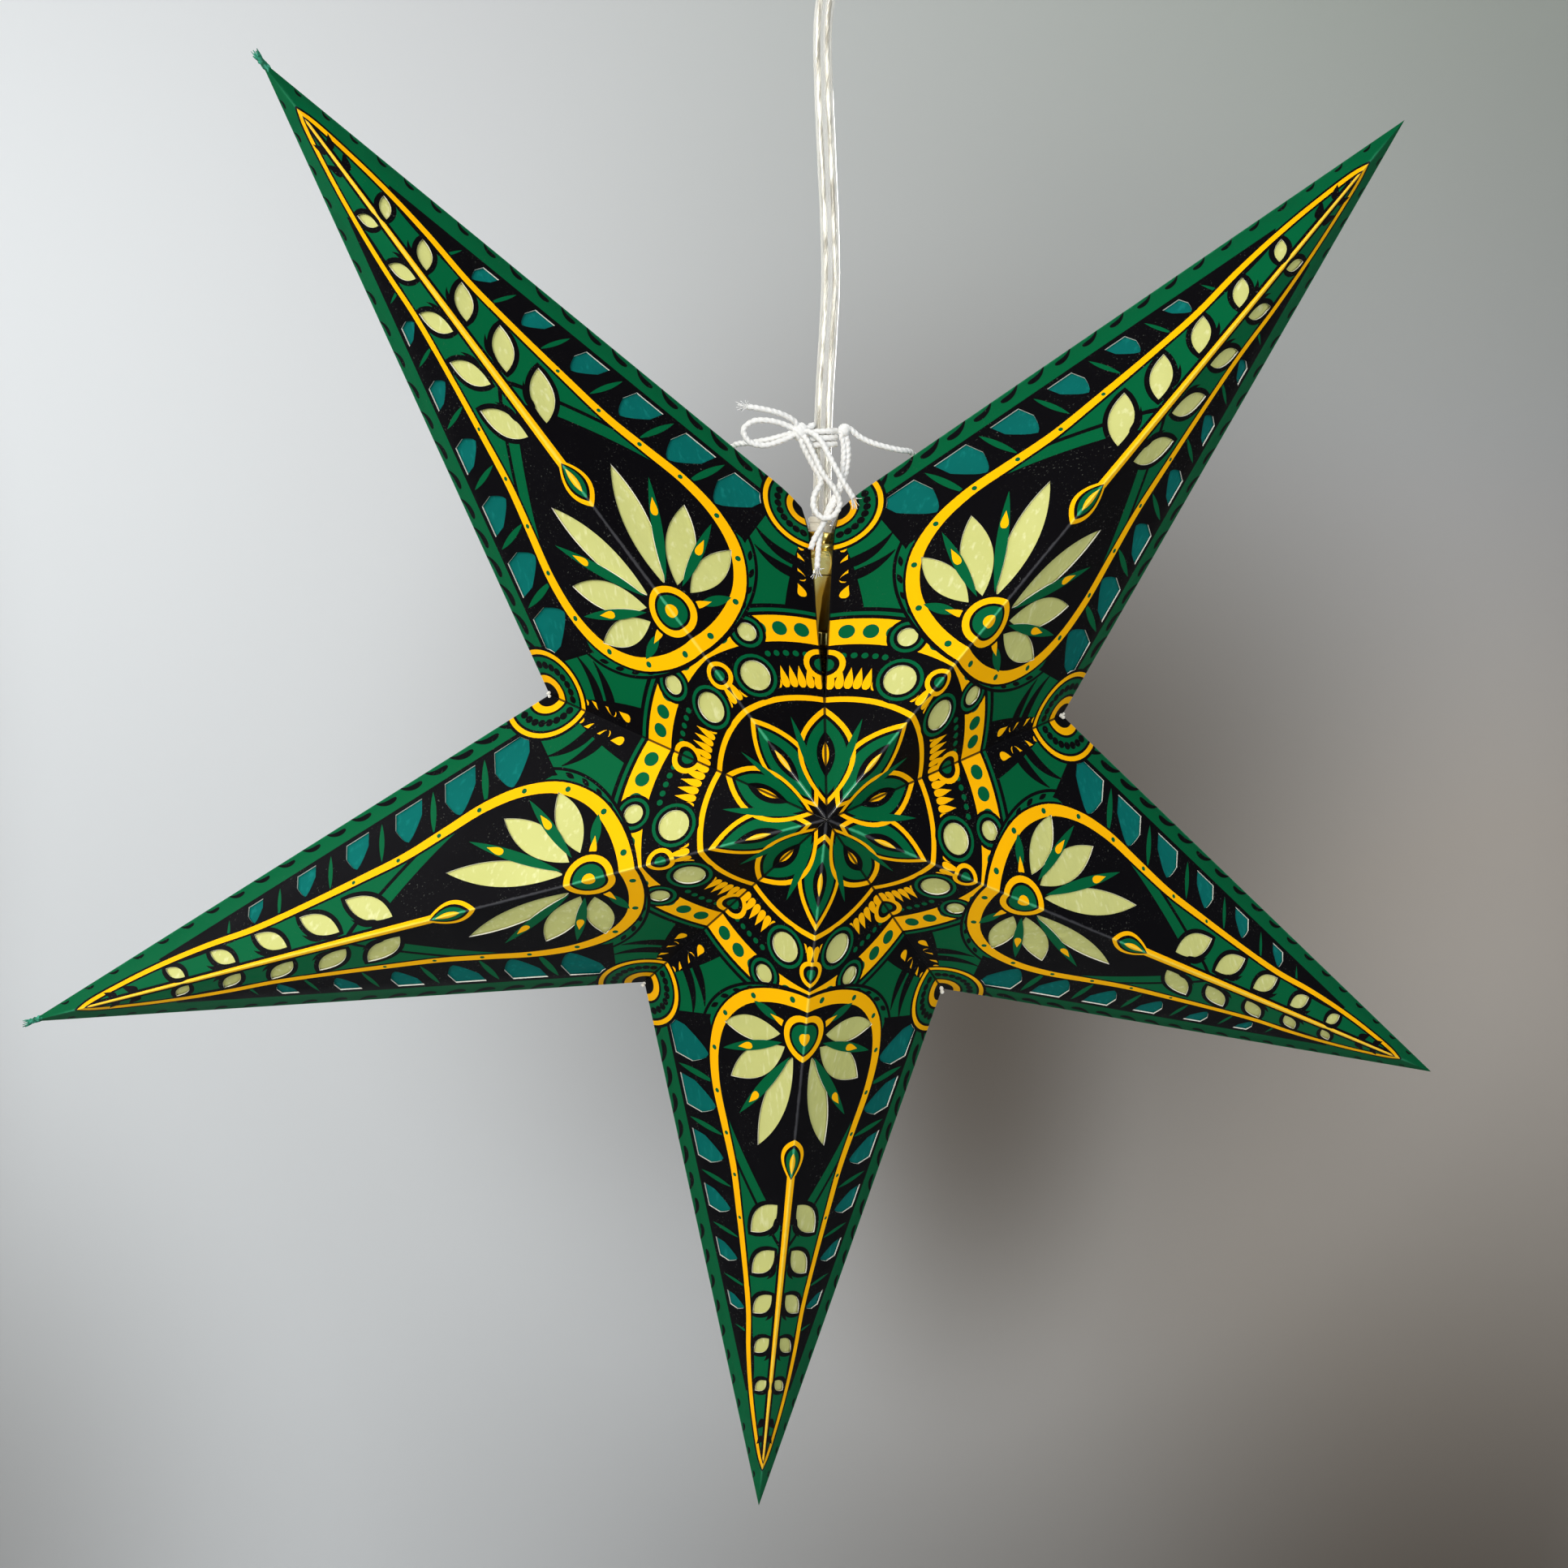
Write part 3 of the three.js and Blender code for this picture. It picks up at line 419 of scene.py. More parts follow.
for name, centre, sizes in (("bow_knot_cotton", knot_place, (3.1, 2.8, 3.3)),
                            ("side_knot_cotton", side_knot_place, (2.3, 2, 2.5))):
    bm = bmesh.new()
    bmesh.ops.create_uvsphere(bm, u_segments=40, v_segments=24, radius=1)
    for vert in bm.verts:
        strands = math.sin(6 * vert.co.x + 7 * vert.co.z + 2 * vert.co.y) ** 2
        vert.co *= 0.86 + 0.14 * strands
    bmesh.ops.scale(bm, vec=Vector(sizes) / 1000, verts=bm.verts)
    bmesh.ops.translate(bm, vec=from_star([centre])[0], verts=bm.verts)
    knots[name] = object_of(name, bm, [cotton])
    tied(knots[name])
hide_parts("bow_knot")
spare_points = [side_knot_place, (7.6, -4.2, 122.4), (8.3, -3.4, 116.5), (7.4, -3.2, 110),
                (5.2, -4, 103.6), (2.6, -5.8, 98), (0.6, -7.4, 94), (-1.4, -9.2, 90.6),
                (-3.2, -10.6, 87.4), (-4, -11.6, 84.6)]
spare = string_piece("right_string_spare_end", smooth_route(from_star(spare_points), string_step))
tied(spare)
ends_with = {"left_string": "object", "right_string": "bare", "bow_loop_side": "object",
             "bow_loop_down": "object", "neck_wrap": "object"}
for name, far_end in ends_with.items():
    piece, route = string_pieces[name]
    route_length(route)


# The cards are thin printed board, folded on a ridge in front and behind and glued along the
# valleys. One facet's print and cut windows are drawn flat, in millimetres along the ridge from
# the peak and out from it, and each arm takes it four times.
reach = 300
notch_reach = 99
half_depth = 70
seam_gap = 0.04
slit_half_gap = 5
slit_foot_reach = 35
card_thickness = 0.0005
arm_names = ["upper_left", "left", "bottom", "right", "upper_right"]
tip_lean = [1.2, 0.6, -0.7, -4.4, -0.3]
tip_extra = [2, -0.5, 1.5, -5, 5.5]
tip_back = [-3, 0, -7, 16, -16]
ridge_length = math.hypot(reach, half_depth)
valley_length = math.hypot(notch_reach, half_depth)
slit_half_angle = math.asin(slit_half_gap / notch_reach)
arm_angle = 2 * (math.pi - slit_half_angle) / len(arm_names)
fold_length = math.sqrt(
    reach ** 2 + notch_reach ** 2 - 2 * reach * notch_reach * math.cos(arm_angle / 2))
notch_along = (ridge_length ** 2 + valley_length ** 2 - fold_length ** 2) / (2 * ridge_length)
notch_out = math.sqrt(valley_length ** 2 - notch_along ** 2)
fold_way = Vector((ridge_length - notch_along, -notch_out)) / fold_length
fold_in = Vector((fold_way.y, -fold_way.x))
valley_way = Vector((notch_along, notch_out)) / valley_length
valley_in = Vector((valley_way.y, -valley_way.x))
valley_degrees = math.degrees(math.atan2(notch_out, notch_along))
notch = Vector((notch_along, notch_out))


def by_fold(along, inwards):
    return notch + fold_way * along + fold_in * inwards


def by_valley(along, inwards):
    return valley_way * along + valley_in * inwards


def heading(degrees):
    angle = math.radians(degrees)
    return Vector((math.cos(angle), math.sin(angle)))


def leaf(root, degrees, length, half_width, steps=16):
    ahead = heading(degrees)
    aside = Vector((-ahead.y, ahead.x))
    there = [(i / steps, 4 * half_width * i / steps * (1 - i / steps)) for i in range(steps)]
    back = [(1 - share, -offset) for share, offset in there]
    return [Vector(root) + ahead * length * share - aside * offset for share, offset in there + back]


def disc(centre, radius, steps=24):
    return [Vector(centre) + radius * heading(360 * i / steps) for i in range(steps)]


def grown(outline, distance, sharpest):
    result = []
    for before, here, after in zip(outline[-1:] + outline[:-1], outline, outline[1:] + outline[:1]):
        arrive = (here - before).normalized()
        leave = (after - here).normalized()
        middle = Vector((arrive.y + leave.y, -arrive.x - leave.x))
        reach_out = 2 / max(middle.length_squared, (2 / sharpest) ** 2)
        result.append(here + middle * distance * reach_out)
    return result


def ribbon(points, half_widths):
    left, right = [], []
    for i, here in enumerate(points):
        ahead = (points[min(i + 1, len(points) - 1)] - points[max(i - 1, 0)]).normalized()
        aside = Vector((-ahead.y, ahead.x)) * half_widths(i / (len(points) - 1))
        left.append(here + aside)
        right.append(here - aside)
    return right + left[::-1]


def bow(centre, radius, start, end, steps=28):
    return [Vector(centre) + radius * heading(start + (end - start) * i / steps) for i in range(steps + 1)]


def drop(root, degrees, length, width, curl=0.0, steps=14):
    spine = []
    for i in range(steps + 1):
        share = i / steps
        spine.append(Vector(root) + length * share * heading(degrees + curl * share))
    return ribbon(spine, lambda share: width / 2 * math.sin(math.pi * min(1, share + 0.02) ** 0.55) + 0.05)


petal_root = 84
window_edge = 4
petals = [(15, 46, 4.8), (44, 33, 5.4), (75, 26, 4.8)]
petal_start = 9
leaf_places = []
for i in range(5):
    length = 22 - 3 * i
    leaf_places.append(((158 + 21 * i, 5 * length / 22), 30, length, 0.19 * length))
arches = [(20 + 22 * i, 17.5 - 2 * i) for i in range(6)]
moons = [((52, 12), 5.5), ((66, 20), 3.5)]


def arch(along, height):
    half_width = 0.42 * height
    shoulder = 0.45 * height
    side = [(half_width, 0), (half_width, shoulder)]
    side += [(half_width * (1 - t / 6) ** 0.7, shoulder + (height - shoulder) * t / 6) for t in range(1, 6)]
    places = side + [(0, height)] + [(-x, y) for x, y in side[::-1]]
    return [by_fold(along + x + 0.35 * y, 9 + y) for x, y in places]


def teardrop(grow):
    start, end = 72 - grow, 166 + 2 * grow
    shares = [i / 60 for i in range(61)]
    line = [Vector((start + (end - start) * t * t, (41 + grow) * math.sin(math.pi * t ** 1.24) ** 0.85))
            for t in shares[1:-1]]
    return [Vector((start, 0)), *line, Vector((end, 0)), Vector((end, -1)), Vector((start, -1))]


layers = []


def printed(ink, outline):
    area = sum(a.x * b.y - b.x * a.y for a, b in zip(outline, outline[1:] + outline[:1]))
    layers.append((ink, outline if area > 0 else outline[::-1]))


def ringed(centre, rings, steps):
    for radius, ink in rings:
        printed(ink, disc(centre, radius, steps))


# Each shape is printed over the ones before it. The ground is green, with a black lens and a row
# of amber drops along the valley.
green, black, amber, white, window = 0, 1, 2, 3, 6
valley_points = [by_valley(valley_length * i / 12, 0) for i in range(12, 0, -1)]
printed(green, [Vector((0, 0)), Vector((ridge_length, 0)), *valley_points])
lens_start, lens_end, lens_width = 8, 114, 12.5
lens = [by_valley(lens_start + (lens_end - lens_start) * i / 24,
                  lens_width * math.sin(math.pi * i / 24) ** 0.8) for i in range(25)]
printed(black, [*lens, by_valley(lens_end, -4), by_valley(lens_start, -4)])
for i in range(5):
    printed(amber, drop(by_valley(83 + 6.4 * i, 4.4 - 0.3 * i), valley_degrees - 8, 5.2, 3.2 - 0.3 * i, -10))
# rings round the star's middle, with dots, drops and round windows
ringed((0, 0), ((79, black), (77.4, green), (76, black), (74.6, amber), (64.6, black), (44.6, amber),
                (42.6, black)), 120)
for i in range(12):
    degrees = (i + 0.5) * valley_degrees / 12
    place = heading(degrees)
    if i % 2 == 0 and i != 4:
        printed(green, disc(place * 69.6, 2.7, 20))
    if i not in (3, 4):
        printed(amber, drop(place * 47.5, degrees, 8, 2.6))
    if i > 5:
        printed(green, disc(place * 60.2, 1.1, 12))
for centre, radius in moons:
    for grow, ink in ((3.6, black), (2.4, green), (1.2, black), (0, window)):
        printed(ink, disc(centre, radius + grow))
for centre, radius in (((58, 0), 5), (by_valley(57, 0), 6)):
    printed(amber, disc(centre, radius))
    printed(black, disc(centre, radius * 0.68))
    printed(green, disc(centre, radius * 0.4, 14))
# half a rosette at the peak
for way in (0, valley_degrees):
    root = heading(way) * 5
    printed(amber, leaf(root, way, 36, 9.4))
    printed(black, leaf(root * 1.4, way, 31.5, 7.8))
    printed(green, leaf(root * 1.7, way, 28.5, 6.6))
    printed(black, leaf(root * 3, way, 17, 3))
    printed(amber, leaf(root * 3.8, way, 9, 1.1))
printed(green, leaf((9, 4.2), valley_degrees / 2, 27, 1.3))
# the long black drop along the ridge, and its border
for grow, ink in ((6.2, black), (5, green), (1.2, black)):
    printed(ink, teardrop(grow))
band = teardrop(3.2)
for i in range(9, 50, 4):
    ahead = band[i + 1] - band[i]
    printed(black, leaf(band[i], math.degrees(math.atan2(ahead.y, ahead.x)) + 14, 4.6, 0.9, 8))
# the row of leaning arches along the outer fold
shard_band = [(10 + 162 * i / 40, 7.2 + 24 * (1 - i / 40) ** 0.45) for i in range(41)]
printed(black, [by_fold(172, 7.2), by_fold(10, 7.2), *[by_fold(*spot) for spot in shard_band[:-1]]])
for along, height in arches:
    lean = math.degrees(math.atan2(fold_in.y, fold_in.x)) + 19
    printed(green, leaf(by_fold(along + 11.6, 9.2), lean, 0.9 * height + 3, 0.075 * height))
    printed(window, arch(along, height))
# the amber vine round the long drop
vine = smooth_route([(*spot, 0) for spot in (
    (70, -3), (70.2, 4), (73, 16), (80, 28.5), (92, 37.2), (106, 39.8), (121, 37.8), (137, 32.2),
    (153, 26.6), (171, 22.4), (194, 17.5), (214, 13.9), (233, 12.2), (251, 9.6), (268, 6), (284, 1.4),
    (288, -1))], 3)
vine = [point.xy for point in vine]
for grow, ink in ((0.9, black), (0, amber)):
    printed(ink, ribbon(vine, lambda share: grow + 0.75 + 2.1 * (1 - share) ** 1.6))
for i in range(3, 46, 6):
    printed(green, disc(vine[i], 1.25 - 0.012 * i, 14))
# the fan of petals, its flower, and the stem with paired leaves
flower = Vector((petal_root, 0))
for degrees, length, half_width in petals:
    root = flower + heading(degrees) * petal_start + Vector((0, window_edge / 2))
    printed(window, leaf(root, degrees, length, half_width, 24))
for degrees, length in ((30.5, 40), (60.5, 30), (103, 13)):
    printed(green, leaf(flower + heading(degrees) * 11, degrees, length, 1.9))
    printed(amber, drop(flower + heading(degrees) * (length - 4), degrees, 7, 2.6))
ringed(flower, ((10.4, black), (9.2, amber), (6.8, black), (5.8, green), (2.4, amber)), 36)
stem = [Vector((137 + 150 * i / 20, 0)) for i in range(21)]
for grow, ink in ((1.1, black), (0, amber)):
    printed(ink, ribbon(stem, lambda share: grow + 1.9 * (1 - 0.75 * share)))
for back, half_width, ink in ((0, 5.4, amber), (2.2, 4, black), (3.6, 3, green), (6, 1.3, amber)):
    printed(ink, leaf((126 + back, 0), 0, 19 - 1.6 * back, half_width))
for place in leaf_places:
    printed(black, grown(leaf(*place), 1.7, 1.5))
for grow, ink in ((0.7, black), (0, amber)):
    printed(ink, ribbon(vine[55:], lambda share: grow + 0.75 + 0.5 * (1 - share)))
for place in leaf_places:
    printed(window, leaf(*place))
for (along, out), _, length, _ in leaf_places[:-1]:
    printed(black, drop((along + 6, out - 0.6), -2, 0.5 * length, 0.12 * length, 20))
for along, size in ((262, 8), (271, 6.5)):
    printed(black, drop((along, 1.4), 24, size, 0.34 * size))
# small drops along the outer fold, and rings round the notch
for i in range(19):
    shrink = 1 - i / 27
    printed(black, drop(by_fold(12 + 11 * i, 2.2 * shrink + 0.6), -37, 11.5 * shrink, 2.7 * shrink, 38))
for radius, start, end in ((25, -138, -84), (30.5, -136, -96)):
    printed(black, ribbon(bow(notch, radius, start, end),
                          lambda share: 0.2 + 1.9 * math.sin(math.pi * share ** 0.6)))
ringed(notch, ((18.6, black), (17.4, amber), (15.6, black), (14.6, green), (8.6, black), (7.6, amber),
               (4.8, black)), 60)
for i in range(9):
    printed(black, disc(notch + 11.6 * heading(-14 - 14.5 * i), 1.5, 12))


def cut_facet(own_layers):
    corners, outlines = [], []
    for _, outline in own_layers:
        outlines.append(list(range(len(corners), len(corners) + len(outline))))
        corners += outline
    places, _, cells, _, _, sources = delaunay_2d_cdt(corners, [], outlines, 1, 1e-4)
    facet = bmesh.new()
    facet_verts = [facet.verts.new((place.x, place.y, 0)) for place in places]
    for corner_ids, source in zip(cells, sources):
        ink = own_layers[max(source, default=0)][0]
        if 0 in source and ink != window:
            facet.faces.new([facet_verts[i] for i in corner_ids]).material_index = ink
    chart = facet.loops.layers.uv.new("chart")
    for face in facet.faces:
        for loop in face.loops:
            loop[chart].uv = loop.vert.co.xy / ridge_length
    bmesh.ops.delete(facet, geom=[v for v in facet.verts if not v.link_faces], context="VERTS")
    mesh = bpy.data.meshes.new("facet")
    facet.to_mesh(mesh)
    facet.free()
    return mesh


facet_mesh = cut_facet(layers)
string_hole_place = by_fold(34, 6)
string_hole_radius = 1.7
string_hole = disc(string_hole_place, string_hole_radius, 16)
holed_facet_mesh = cut_facet([*layers, (window, string_hole)])


# The print is matt-satin ink on white board. The folds and ridges are painted paler, partly rubbed wear and
# partly a painted highlight of the rounded fold, and the valleys get a painted dark shade. The black is
# dusty, and the board shows white where it is cut. The paler paint fades out before the tip.
fold_roll = 13


def board(name, code, worn_highlight_code, dust, roughness):
    ink = Finish(name, code, roughness)
    along, out = (share * ridge_length for share in ink.axes("UV")[:2])
    from_fold = (along - notch_along) * fold_in.x + (out - notch_out) * fold_in.y
    from_valley = along * valley_in.x + out * valley_in.y
    grain = ink.cloud(420, 4)
    # Paler along the ridge and the outer fold: partly rubbed wear, partly a painted highlight of the rounded
    # fold.
    ridge_wear_and_highlight = ((0.8 - out) * 1.8 + (grain - 0.5) * 1.6).within() * 0.85
    fold_wear_and_highlight = ((0.5 - from_fold) * 1.6 + (grain - 0.5) * 1.6).within() * 0.4
    # The seam mask is painted shade: the board darkens along the valley crease between the folded panels.
    seam = ((0.55 - from_valley) * 4).within() * 0.9
    specks = ink.steps(ink.cloud(1500, 2), 0.66, 0.71) * ink.steps(ink.cloud(60, 2), 0.45, 0.62)
    shade = ink.between(ink.cloud(9, 4), tone(code), tuple(c * 1.12 for c in tone(code)[:3]) + (1,))
    shade = ink.between(specks * dust, shade, tone("#8f9188"))
    before_tip = ((ridge_length - 8 - along) / 30).within()
    shade = ink.between((ridge_wear_and_highlight + fold_wear_and_highlight).within() * before_tip, shade, tone(worn_highlight_code))
    ink.paint(Base_Color=ink.between(seam, shade, tone("#0d0c0e")),
              Roughness=roughness + (ink.cloud(80, 3) - 0.5) * 0.16, Specular_IOR_Level=0.04)
    rounded = ((fold_roll - from_fold) / fold_roll).within()
    crumpled = ((along - 195) / 90).within() * ink.cloud(42, 2) * 4
    height = ink.cloud(26, 1) * 0.75 + ink.cloud(2600, 2) * 0.015 + crumpled - rounded * rounded * 2.6
    ink.rough(height, 0.001)
    return ink


green_ink = board("green_ink", "#005a34", "#45ad80", 0.06, 0.5)
black_ink = board("black_ink", "#070609", "#434347", 0.28, 0.46)
amber_ink = board("amber_ink", "#ffb800", "#ffd84a", 0.04, 0.5)
card_white = Finish("card_white", "#e9e7dd", 0.8)
card_white.mottled(900, "#f2f0e8", "#d5d2c6", 4)
card_white.rough(card_white.cloud(1800, 3), 0.0002)


def on_star(degrees, distance, back=0.0):
    angle = math.radians(degrees)
    return Vector((distance * math.cos(angle), back, distance * math.sin(angle)))


bend_room = 14.0
corner_curl = 1.9
corner_curl_reach = 12
foot_share = slit_foot_reach / notch_reach
tab_depth = 10
tab_start = 12
tab_end_room = 16
tab_slope = 5
lump_count = 4
lump_spread = 0.9
weld_distance = 0.004
pinch_radius = 0.0015
pinch_frames = 14
sliver_count = 9
pinched = Finish("pinched_tip", "#1d8a66", 0.7, Specular_IOR_Level=0.2)
pinched.paint(Base_Color=pinched.between(
    pinched.steps(pinched.cloud(600, 4), 0.4, 0.62), tone("#04543a"), tone("#3d9c80")))


def folds_flat(piece, name):
    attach(piece, name + "_arm")
    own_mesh(piece)


def pulled_open(verts, flat, side, pull):
    for vert, place in zip(verts, flat):
        share = place.dot(valley_way) / valley_length
        rise = min(share / foot_share, (1 - share) / (1 - foot_share))
        near = 1 - place.dot(valley_in) / bend_room
        vert.co += pull * max(0, rise) * min(1, max(0, near))
        curl = max(0, 1 - (place - notch).length / corner_curl_reach)
        vert.co.x += side * corner_curl * curl ** 1.4


def glue_tab(bm, peak, valley, tab_end, depth_way, axis):
    tab = [(tab_start, 0), (tab_end, 0), (tab_end - tab_slope, tab_depth), (tab_start + tab_slope, tab_depth)]
    tab_face = bm.faces.new([bm.verts.new(peak + valley * a + depth_way * d) for a, d in tab])
    tab_face.normal_update()
    tab_face.material_index = black
    if tab_face.normal.dot(axis) > 0:
        tab_face.normal_flip()


def glue_lumps(bm, corner):
    for i in range(lump_count):
        stray = Vector([random.uniform(-1, 1) for _ in range(3)]) * lump_spread - Vector((0, 0.6, 0))
        lump = bmesh.ops.create_icosphere(bm, subdivisions=2, radius=random.uniform(0.45, 0.85),
                                          matrix=Matrix.Translation(corner + stray))["verts"]
        for face in {face for vert in lump for face in vert.link_faces}:
            face.material_index = white


def thickened(card):
    wall = card.modifiers.new("board", "SOLIDIFY")
    wall.thickness = card_thickness
    wall.offset = -1
    wall.use_even_offset = True
    wall.thickness_clamp = 2
    wall.material_offset = 3
    wall.material_offset_rim = 3
    folded = card.evaluated_get(bpy.context.evaluated_depsgraph_get())
    card.data = bpy.data.meshes.new_from_object(folded)
    card.modifiers.clear()


def pinched_tip(name, tip, along):
    turn = along.to_track_quat("Z", "Y").to_matrix().to_4x4()
    frames = []
    for i in range(pinch_frames):
        wobble = Matrix.Rotation(random.uniform(-0.4, 0.4), 4, "Z")
        size = random.uniform(0.85, 1.1) * min(1, 0.35 + 0.3 * i) * (1 - 0.02 * i)
        place = star + (tip + along * (0.5 * i - 5.6)) / 1000
        frames.append(Matrix.Translation(place) @ turn @ wobble @ Matrix.Diagonal((size, size, 1, 1)))
    bm = bmesh.new()
    drawn_along(bm, lobed(pinch_radius, 0.0008, 3, 18), frames)
    end = star + (tip + along * 0.6) / 1000
    for i in range(sliver_count):
        aside = turn @ Vector((math.cos(0.7 * i), math.sin(0.7 * i), 0)) * 0.0011
        out_to = end + aside * 1.15 + along * random.uniform(0.0009, 0.0026)
        sliver = [end + aside * 0.4 - along * 0.001, end + aside * 0.8, out_to]
        sliver_frames = frames_along(smooth_route(sliver, 0.0007), across)[:7]
        drawn_along(bm, lobed(0.00042, 0.0002, 2, 6), [
            frame @ Matrix.Scale(1 - 0.8 * k / 6, 4) for k, frame in enumerate(sliver_frames)])
    folds_flat(object_of("tip_pinch_" + name, bm, [pinched]), name)


random.seed(11)
for index, name in enumerate(arm_names):
    start_seam = 90 + math.degrees(slit_half_angle + index * arm_angle)
    end_seam = start_seam + math.degrees(arm_angle)
    axis = on_star((start_seam + end_seam) / 2, 1)
    shift = axis * seam_gap / 2 / math.sin(arm_angle / 2)
    tip = on_star((start_seam + end_seam) / 2 + tip_lean[index], reach + tip_extra[index], tip_back[index])
    bm = bmesh.new()
    for face_way in (-1, 1):
        for side, seam in ((-1, start_seam), (1, end_seam)):
            peak = Vector((0, face_way * half_depth, 0)) + shift
            corner = on_star(seam, notch_reach) + shift
            along = (tip - peak) / ridge_length
            out = (corner - peak - along * notch_along) / notch_out
            normal = along.cross(out).normalized()
            turned_over = normal.y * face_way < 0
            if turned_over:
                normal.negate()
            onto_arm = Matrix((along, out, normal)).transposed().to_4x4()
            onto_arm.translation = peak
            known = set(bm.verts)
            known_faces = set(bm.faces)
            open_side = (index, side) in ((0, -1), (len(arm_names) - 1, 1))
            bm.from_mesh(holed_facet_mesh if open_side and face_way > 0 else facet_mesh)
            fresh = [v for v in bm.verts if v not in known]
            flat = [v.co.xy for v in fresh]
            bmesh.ops.transform(bm, matrix=onto_arm, verts=fresh)
            if turned_over:
                bmesh.ops.reverse_faces(bm, faces=[f for f in bm.faces if f not in known_faces])
            if open_side:
                foot = Vector((side * seam_gap / 2, peak.y * (1 - foot_share), slit_foot_reach))
                pulled_open(fresh, flat, side, foot - peak.lerp(corner, foot_share))
            valley = (corner - peak).normalized()
            depth_way = Vector((0, -face_way, 0))
            depth_way = (depth_way - valley * depth_way.dot(valley)).normalized()
            tab_end = valley_length - tab_end_room
            if open_side:
                valley = (foot - peak).normalized()
                tab_end = (foot - peak).length
            glue_tab(bm, peak, valley, tab_end, depth_way, axis)
    bmesh.ops.remove_doubles(bm, verts=bm.verts, dist=weld_distance)
    if name != "upper_right":
        glue_lumps(bm, corner)
    bmesh.ops.scale(bm, vec=(0.001, 0.001, 0.001), verts=bm.verts)
    bmesh.ops.translate(bm, vec=star, verts=bm.verts)
    card = object_of("card_" + name + "_printed", bm,
                     [green_ink, black_ink, amber_ink, card_white, card_white, card_white], smooth=False)
    thickened(card)
    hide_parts("card_" + name)
    folds_flat(card, name)
    if name in ("upper_left", "left"):
        pinched_tip(name, tip, (tip - axis * 60).normalized())


# The windows are backed by thin translucent papers, pale along the ridges and teal along the
# outer folds, glued behind the board. Fibres and small creases show in them.
def tissue(name, code, deep_code, pale_code):
    paper = Finish(name, code, 0.75, Specular_IOR_Level=0.07)
    fibres = paper.cloud(500, 5, (1, 1, 0.25))
    shade = paper.between(paper.cloud(24, 4), tone(code), tone(deep_code))
    shade = paper.between(paper.steps(fibres, 0.56, 0.7) * 0.5, shade, tone(pale_code))
    paper.paint(Base_Color=shade)
    paper.rough(paper.cloud(70, 3) * 2 + fibres * 0.2, 0.0009, 0.6)
    return paper


pale_paper = tissue("pale_tissue", "#d3d48a", "#bfc172", "#e9e9b8")
teal_paper = tissue("teal_tissue", "#006f68", "#005550", "#128078")
paper_kinds = (("pale_front_", pale_paper, "pale_paper"), ("pale_back_", pale_paper, "pale_paper"),
               ("teal_a_", teal_paper, "teal_paper"), ("teal_b_", teal_paper, "teal_paper"))
for name in arm_names:
    for node, paper, slot in paper_kinds:
        bm = bmesh.new()
        bm.from_mesh(bpy.data.objects[node + name].data)
        bmesh.ops.remove_doubles(bm, verts=bm.verts, dist=1e-6)
        sheet = object_of(node + name + "_tissue", bm, [paper], smooth=False)
        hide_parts(node + name)
        folds_flat(sheet, name)


# The lamp holder is spun from thin brass-coloured metal and polished: a dome with a bead and a
# collar, a shell, and a ring that screws on below. A clear moulded grip holds the cord above it.
def spun(name, outline, finish, steps=96, centre=(0, 0, 0)):
    bm = bmesh.new()
    verts = [bm.verts.new(Vector((radius, 0, height)) / 1000) for radius, height in outline]
    edges = [bm.edges.new(pair) for pair in zip(verts, verts[1:] + verts[:1])]
    bmesh.ops.spin(bm, geom=verts + edges, cent=(0, 0, 0), axis=(0, 0, 1), angle=2 * math.pi,
                   steps=steps, use_merge=True)
    bmesh.ops.remove_doubles(bm, verts=bm.verts, dist=1e-6)
    bmesh.ops.dissolve_degenerate(bm, edges=bm.edges, dist=1e-7)
    bmesh.ops.recalc_face_normals(bm, faces=bm.faces)
    bmesh.ops.translate(bm, vec=centre, verts=bm.verts)
    piece = object_of(name, bm, [finish])
    piece.data.set_sharp_from_angle(angle=math.radians(32))
    edge = piece.modifiers.new("edges", "BEVEL")
    edge.width = 0.00018
    edge.segments = 2
    edge.limit_method = "ANGLE"
    edge.angle_limit = math.radians(40)
    edge.harden_normals = False
    return piece


def carried_by(piece, body, node):
    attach(piece, body)
    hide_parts(node)


def dressed(node, finish):
    bpy.data.objects[node].data.materials.clear()
    bpy.data.objects[node].data.materials.append(finish.material)


def arc(count, start, end, radius, height):
    turns = [math.radians(start + (end - start) * i / count) for i in range(count + 1)]
    return [(radius * math.cos(t), height + radius * math.sin(t)) for t in turns]


gold = Finish("polished_gold", "#f5d66a", 0.1, 0.95)
# The streaks paint pale and dark bands into the base colour that stand in for reflections in the polished
# metal.
painted_reflection_streaks = gold.steps(gold.cloud(130, 3, (1, 1, 0.22)), 0.44, 0.6)
gold.paint(Base_Color=gold.between(painted_reflection_streaks, tone("#fff09a"), tone("#d8a83a")),
           Roughness=0.03 + gold.cloud(300, 4, (1, 1, 0.1)) * 0.12)
gold.rough(gold.cloud(90, 3, (1, 1, 0.3)), 0.0005, 0.5)
holder_radius = 14
holder_wall = 0.8
thread_radius = 13.1
shell_bore = thread_radius - holder_wall
dome_top, dome_bottom = 84.2, 76
dome_curve = []
for i in range(15):
    share = i / 14
    dome_curve.append((holder_radius - 5.2 * share ** 2, dome_bottom + (dome_top - dome_bottom) * share))
dome_inside = [(radius - holder_wall, height - holder_wall * (height > dome_bottom)) for radius, height
               in dome_curve]
bead = arc(8, -70, 70, 1.15, 85.6)
dome_outline = [*dome_curve, *[(6.7 + radius, height) for radius, height in bead], (5.2, 86.6),
                (5.2, 87.7), (5.8, 87.7), (6, 88.1), (6, 90.2), (5.6, 90.7), (3, 90.7),
                (3, dome_top - holder_wall), *dome_inside[::-1]]
